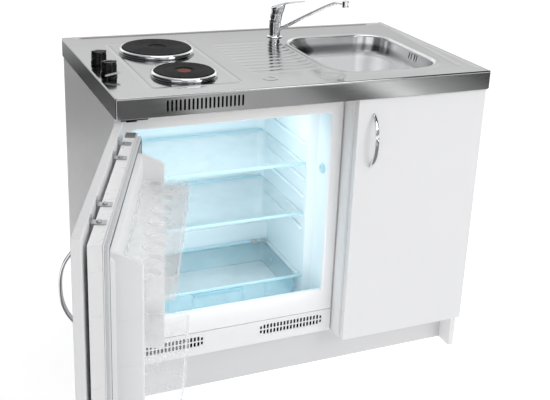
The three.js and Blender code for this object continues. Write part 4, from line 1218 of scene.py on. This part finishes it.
# ------------------------------------------------------------------ refrigerator door
def door():
    copy_node("fridge_door_shell", "paint_white", 2.0, 3)
    # liner: flat plate, raised field, and two side dykes with soft edges
    g = block(-477.9, 103.9, -29.6, -27.8, 172.7, 767.8, 0.8, None, 0, "y", 2)
    rings = []
    for y, d in ((-28, -9), (-26.5, -6.5), (-24, -4.2), (-20, -2.4), (-16, -1.0), (-14, 0.4), (-13.2, 2.0), (-13, 4)):
        rings.append([(a, y, b) for a, b in rrect(-440 + d, 62 - d, 244 + d, 732 - d, 18, 8)])
    loft(rings, g, 0, False, True)
    prof = fillet([(-26, 246), (34, 246), (34, 712), (28, 717), (-13, 734), (-26, 734)], [3, 9, 4, 4, 6, 3], 6, True)
    for x0, x1 in ((-440, -431.5), (53.5, 62)):
        c = (x0 + x1) / 2
        rings = []
        yc, zc = 4.0, 488.0
        for k in range(7):
            q = math.pi * k / 6
            dx = -4.25 * math.cos(q)
            d = 2.6 * (1 - math.sin(q))
            rings.append([(c + dx, yc + (a - yc) * (30 - d) / 30, zc + (b - zc) * (242.5 - d) / 242.5) for a, b in prof])
        loft(rings, g, 0, True, True)
        for zz in (603, 510, 382, 300):  # moulded steps that carry the bins
            block(c - 4.45, c + 4.45, -10, 31.5, zz - 1.3, zz + 1.3, 0.5, g, 0, "z", 2)
    make("door_liner_formed", g, ["plastic_white"], "fridge_door_liner", angle=40, move=DOOR)
    # gasket: a bellows profile run round the door
    rings = []
    for d, y in ((0.4, -27.3), (0.0, -26.4), (1.2, -25.0), (0.0, -23.6), (0.0, -21.0), (1.0, -19.7), (3.0, -19.3), (9.0, -19.3), (12.0, -19.6), (14.2, -20.2), (15.0, -21.6), (12.6, -23.4), (15.4, -25.2), (15.6, -27.3)):
        rings.append([(a, y, b) for a, b in rrect(-474 + d, 100 - d, 176.5 + d, 764 - d, max(1.0, 9 - d * 0.4), 5)])
    rings.append(rings[0])
    g = loft(rings)
    # the front face of the bellows takes the near-black copy: painted shade
    for k in range(len(g.f)):
        if 6 <= k // len(rings[0]) <= 8:
            g.m[k] = 1
    make("door_gasket_bellows", g, ["gasket", "gasket_painted_shade"], "fridge_door_gasket", angle=60, move=DOOR)

    def tray(node, z0, z1, y1, lip, ribs):
        g = Geo()
        x0, x1, y0 = -420.0, 42.0, -12.5
        out, inn = [], []
        for z, d, r in ((z0, 4.6, 10), (z0 + 0.8, 2.8, 11), (z0 + 2.8, 1.6, 12), (z0 + (z1 - z0) * 0.5, 0.7, 13), (z1 - 2.2, 0.0, 14), (z1 - 1.2, 0.2, 14), (z1 - 0.2, 0.9, 13)):
            out.append([(a, b, z) for a, b in rrect(x0 + d, x1 - d, y0 + d * 0.6, y1 - d, r, 9)])
        for z, d, r in ((z1 - 0.3, 2.0, 12), (z1 - 3, 2.5, 12), (z0 + (z1 - z0) * 0.5, 3.2, 11), (z0 + 5, 4.2, 10), (z0 + 3.0, 6.0, 9), (z0 + 2.4, 8.5, 8)):
            inn.append([(a, b, z) for a, b in rrect(x0 + d, x1 - d, y0 + d * 0.6, y1 - d, r, 9)])
        loft(out + inn[:2], g, 0, True, False)
        block(-409.5, 31.5, y1 - 1.4, y1 + 1.4, z1 - lip, z1 - 0.2, 1.1, g, 0, "z", 3)
        for xa, xb in ((-430.9, -418.9), (40.9, 52.9)):  # lugs that hang on the moulded sides
            block(xa, xb, 4.2, 27.8, z1 - 26, z1 - 8.2, 1.6, g, 0, "z", 3)
        for xx in ribs:
            block(xx - 0.8, xx + 0.8, y1 - 1.8, y1 - 0.1, z0 + 6, z1 - lip, 0.4, g, 1, "z", 2)
        block(-414, 36.5, y1 - 2.2, y1 - 0.6, z0 + (z1 - z0) * 0.42, z0 + (z1 - z0) * 0.42 + 1.6, 0.5, g, 1, "z", 2)
        make(node + "_moulded", g, ["clear_bin", "clear_bin"], node, angle=35, move=DOOR)

    tray("door_bin_upper", 631, 680, 90, 6, (-350, -194, -38))
    tray("door_bin_lower", 247, 350, 92, 10, (-310, -194, -78))
    # egg tray with raised collars
    g = Geo()
    holes = []
    for i in range(8):
        cx = -390.5 + i * 57.5
        holes.append([(cx + 21 * math.cos(2 * math.pi * j / 40), 38 + 21 * math.sin(2 * math.pi * j / 40)) for j in range(40)])
        lathe([(21.0, 668.2), (21.0, 671.6), (21.7, 672.3), (22.6, 671.9), (23.4, 670.4)], cx, 38, 40, g)
        lathe([(21.0, 668.2), (19.2, 663.0), (18.6, 663.2), (20.2, 668.4)], cx, 38, 40, g)
    plate(rrect(-416.5, 38, -8, 85, 10, 6), holes, 668.2, 670.4, XY, g)
    for xa, xb in ((-416.5, -414.7), (36.2, 38)):
        block(xa, xb, 4, 74, 634.2, 669, 0.6, g)
    make("egg_tray_moulded", g, ["clear_egg"], "egg_tray", angle=35, move=DOOR)
    for i, xx in enumerate((-400, -312, -68, 12)):
        y0 = -62.2
        g = Geo()
        slot = [rrect(xx - 4.6, xx + 4.6, -50, -45, 2.2, 5)]
        plate(rrect(xx - 9, xx + 9, y0, -34.2, 2.5, 5), slot, 768.4, 770.3, XY, g)
        screw = [rrect(xx - 3, xx + 3, 773.4, 779.0, 2.4, 5)]
        plate(rrect(xx - 9, xx + 9, 768.4, 782, 3, 5), screw, y0, y0 + 2, XZ, g)
        lathe([(0.1, 774.0), (3.6, 773.6), (4.6, 772.2), (4.6, 770.3)], xx, -47.5, 28, g)
        make("front_bracket_%d_bent" % (i + 1), g, ["zinc"], "front_bracket_%d" % (i + 1), angle=40, move=DOOR)


door()

# ------------------------------------------------------------------ anything not replaced gets its material here
REST = {"steel": "steel_top", "chrome": "chrome", "zinc": "zinc", "board_white": "board", "board_raw": "raw", "paint_white": "paint_white",
        "plastic_white": "plastic_white", "plastic_clear": "clear_bin", "glass_clear": "glass", "iron_black": "plastic_black",
        "plastic_black": "plastic_black", "plastic_grey": "plastic_grey", "foam": "foam", "gasket_grey": "gasket", "paint_black": "paint_black"}
for n, o in NODES.items():
    if not o.hide_render:
        o.data.materials.clear()
        o.data.materials.append(MAT[REST[SLOT[n]]])

# ------------------------------------------------------------------ stage, light, world
fm, fnt, fp = shader("floor_pale", (0.6, 0.6, 0.6), 0.8)
fnt.links.new(mix(fnt, remap(fnt, noise(fnt, 0.8, None, 2), 0.3, 0.7, 0, 1), (0.58, 0.58, 0.58), (0.62, 0.62, 0.62)), fp.inputs["Base Color"])
fp.inputs["Emission Color"].default_value = (1, 1, 1, 1)
fp.inputs["Emission Strength"].default_value = 0.72
me = bpy.data.meshes.new("floor")
me.from_pydata([(-14, -12, 0), (14, -12, 0), (14, 16, 0), (-14, 16, 0)], [], [(0, 1, 2, 3)])
me.materials.append(fm)
floor = bpy.data.objects.new("floor", me)
bpy.context.scene.collection.objects.link(floor)


def area(name, loc, target, size, power, color=(1, 1, 1)):
    d = bpy.data.lights.new(name, "AREA")
    d.shape = "RECTANGLE"
    d.size, d.size_y = size
    d.energy = power
    d.color = color
    o = bpy.data.objects.new(name, d)
    bpy.context.scene.collection.objects.link(o)
    o.location = loc
    o.rotation_euler = (Vector(loc) - Vector(target)).to_track_quat("Z", "Y").to_euler()
    return o


area("key", (2.2, -3.4, 2.6), (0.0, 0.0, 0.4), (2.0, 2.0), 50)
area("top", (0.2, 0.2, 3.4), (0.0, 0.1, 0.8), (2.4, 1.4), 18)
lamp = area("sink_light", (0.24, 0.20, 1.30), (0.25, 0.17, 0.7), (0.22, 0.26), 0.58)
lamp.data.spread = math.radians(50)
lamp.visible_glossy = False
area("fridge_glow", (-0.18, 0.10, 0.725), (-0.18, 0.14, 0.3), (0.36, 0.10), 0.42, (0.95, 0.985, 1.0))
area("fridge_fill", (-0.185, -0.045, 0.46), (-0.185, 0.38, 0.42), (0.46, 0.44), 0.46, (0.93, 0.98, 1.0))
area("fridge_low", (-0.21, 0.006, 0.258), (-0.21, 0.20, 0.200), (0.40, 0.06), 0.03, (0.93, 0.98, 1.0))
area("fridge_drawer", (-0.21, 0.15, 0.272), (-0.21, 0.17, 0.10), (0.38, 0.22), 0.06, (0.93, 0.98, 1.0))
area("left_fill", (-2.2, -2.6, 1.4), (-0.6, -0.5, 0.4), (1.2, 1.2), 4)


def card(name, corners, tones, diffuse=False, ax=0):
    """A studio card beyond the picture: unseen itself, it tones what polished metal reflects."""
    cm, cnt, cp = shader(name, (0.02, 0.02, 0.02), 0.9)
    if tones:
        ramp = cnt.nodes.new("ShaderNodeValToRGB")
        el = ramp.color_ramp.elements
        for e, (pos, t) in ((el[0], tones[0]), (el[1], tones[-1])):
            e.position, e.color = pos, (t, t, t, 1)
        for pos, t in tones[1:-1]:
            el.new(pos).color = (t, t, t, 1)
        cnt.links.new(remap(cnt, axis(cnt, ax), corners[0][ax], corners[2][ax], 0, 1), ramp.inputs[0])
        cnt.links.new(ramp.outputs[0], cp.inputs["Emission Color"])
        cp.inputs["Emission Strength"].default_value = 1.0
    me = bpy.data.meshes.new(name)
    me.from_pydata(corners, [], [(0, 1, 2, 3)])
    me.materials.append(cm)
    o = bpy.data.objects.new(name, me)
    bpy.context.scene.collection.objects.link(o)
    o.visible_camera = o.visible_shadow = o.visible_transmission = False
    o.visible_diffuse = diffuse


def along(x):
    """Where the front edge at x mirrors the floor, as a share of the card's width."""
    return (2.248 * x + 1.237 + 1.5) / 5.5


card("studio_card_front", [(-1.5, -3.6, 0.004), (4.0, -3.6, 0.004), (4.0, -1.75, 0.004), (-1.5, -1.75, 0.004)],
     [(along(x), t) for x, t in ((-0.56, 0.02), (-0.48, 0.18), (-0.38, 0.0), (-0.32, 0.92), (-0.25, 0.62), (-0.10, 0.62), (-0.02, 0.58), (0.01, 0.0), (0.13, 0.0),
                                 (0.18, 2.6), (0.24, 0.95), (0.30, 0.50), (0.36, 0.38), (0.43, 0.26), (0.47, 0.02))])
card("studio_card_side", [(-1.7, 2.1, 0.004), (-0.7, 2.1, 0.004), (-0.7, 4.1, 0.004), (-1.7, 4.1, 0.004)], [(0.05, 0.15), (0.5, 0.03), (0.95, 0.40)], False, 1)
card("studio_strip_left", [(-2.48, 0.0, 0.87), (-1.345, -1.775, 0.87), (-1.345, -1.775, 1.9), (-2.48, 0.0, 1.9)], [(0.0, 1.1), (0.5, 1.1), (1.0, 1.1)])
card("studio_strip_right", [(-0.515, -2.134, 0.87), (0.613, -2.149, 0.87), (0.613, -2.149, 1.9), (-0.515, -2.134, 1.9)], [(0.0, 1.0), (0.6, 1.0), (1.0, 0.5)])
card("studio_flag_right", [(0.80, -1.03, 0.9), (1.62, 0.86, 0.9), (1.62, 0.86, 2.6), (0.80, -1.03, 2.6)], None)
card("studio_card_near", [(-1.6, -1.75, 0.003), (3.0, -1.75, 0.003), (3.0, -0.12, 0.003), (-1.6, -0.12, 0.003)], [(0.0, 0.2), (0.5, 0.2), (1.0, 0.2)])
card("studio_card_left", [(-1.15, -0.45, 0.004), (-1.15, 1.2, 0.004), (-1.15, 1.2, 1.5), (-1.15, -0.45, 1.5)], None, True)
world = bpy.data.worlds.new("studio")
bpy.context.scene.world = world
world.use_nodes = True
wn = world.node_tree
wn.nodes.clear()
out = wn.nodes.new("ShaderNodeOutputWorld")
bg = wn.nodes.new("ShaderNodeBackground")
wn.links.new(bg.outputs[0], out.inputs[0])
tc = wn.nodes.new("ShaderNodeTexCoord")
sep = wn.nodes.new("ShaderNodeSeparateXYZ")
wn.links.new(tc.outputs["Generated"], sep.inputs[0])
behind = mix(wn, remap(wn, sep.outputs[2], 0.20, 0.29, 0.0, 1.0), (0.70, 0.70, 0.70), (1.10, 1.10, 1.10))
behind = mix(wn, remap(wn, sep.outputs[2], 0.42, 0.85, 0.0, 1.0), behind, (0.50, 0.50, 0.51))
ahead = mix(wn, remap(wn, sep.outputs[2], 0.1, 0.9, 0.0, 1.0), (0.34, 0.34, 0.35), (0.46, 0.46, 0.47))
both = mix(wn, remap(wn, sep.outputs[1], -0.25, 0.2, 0.0, 1.0), ahead, behind)
side = remap(wn, sep.outputs[0], -0.75, -0.25, 0.0, 1.0)
wn.links.new(mix(wn, side, (0.16, 0.16, 0.165), both), bg.inputs["Color"])
bg.inputs["Strength"].default_value = 1.05

bpy.context.scene.view_settings.view_transform = "Standard"
bpy.context.scene.view_settings.look = "None"
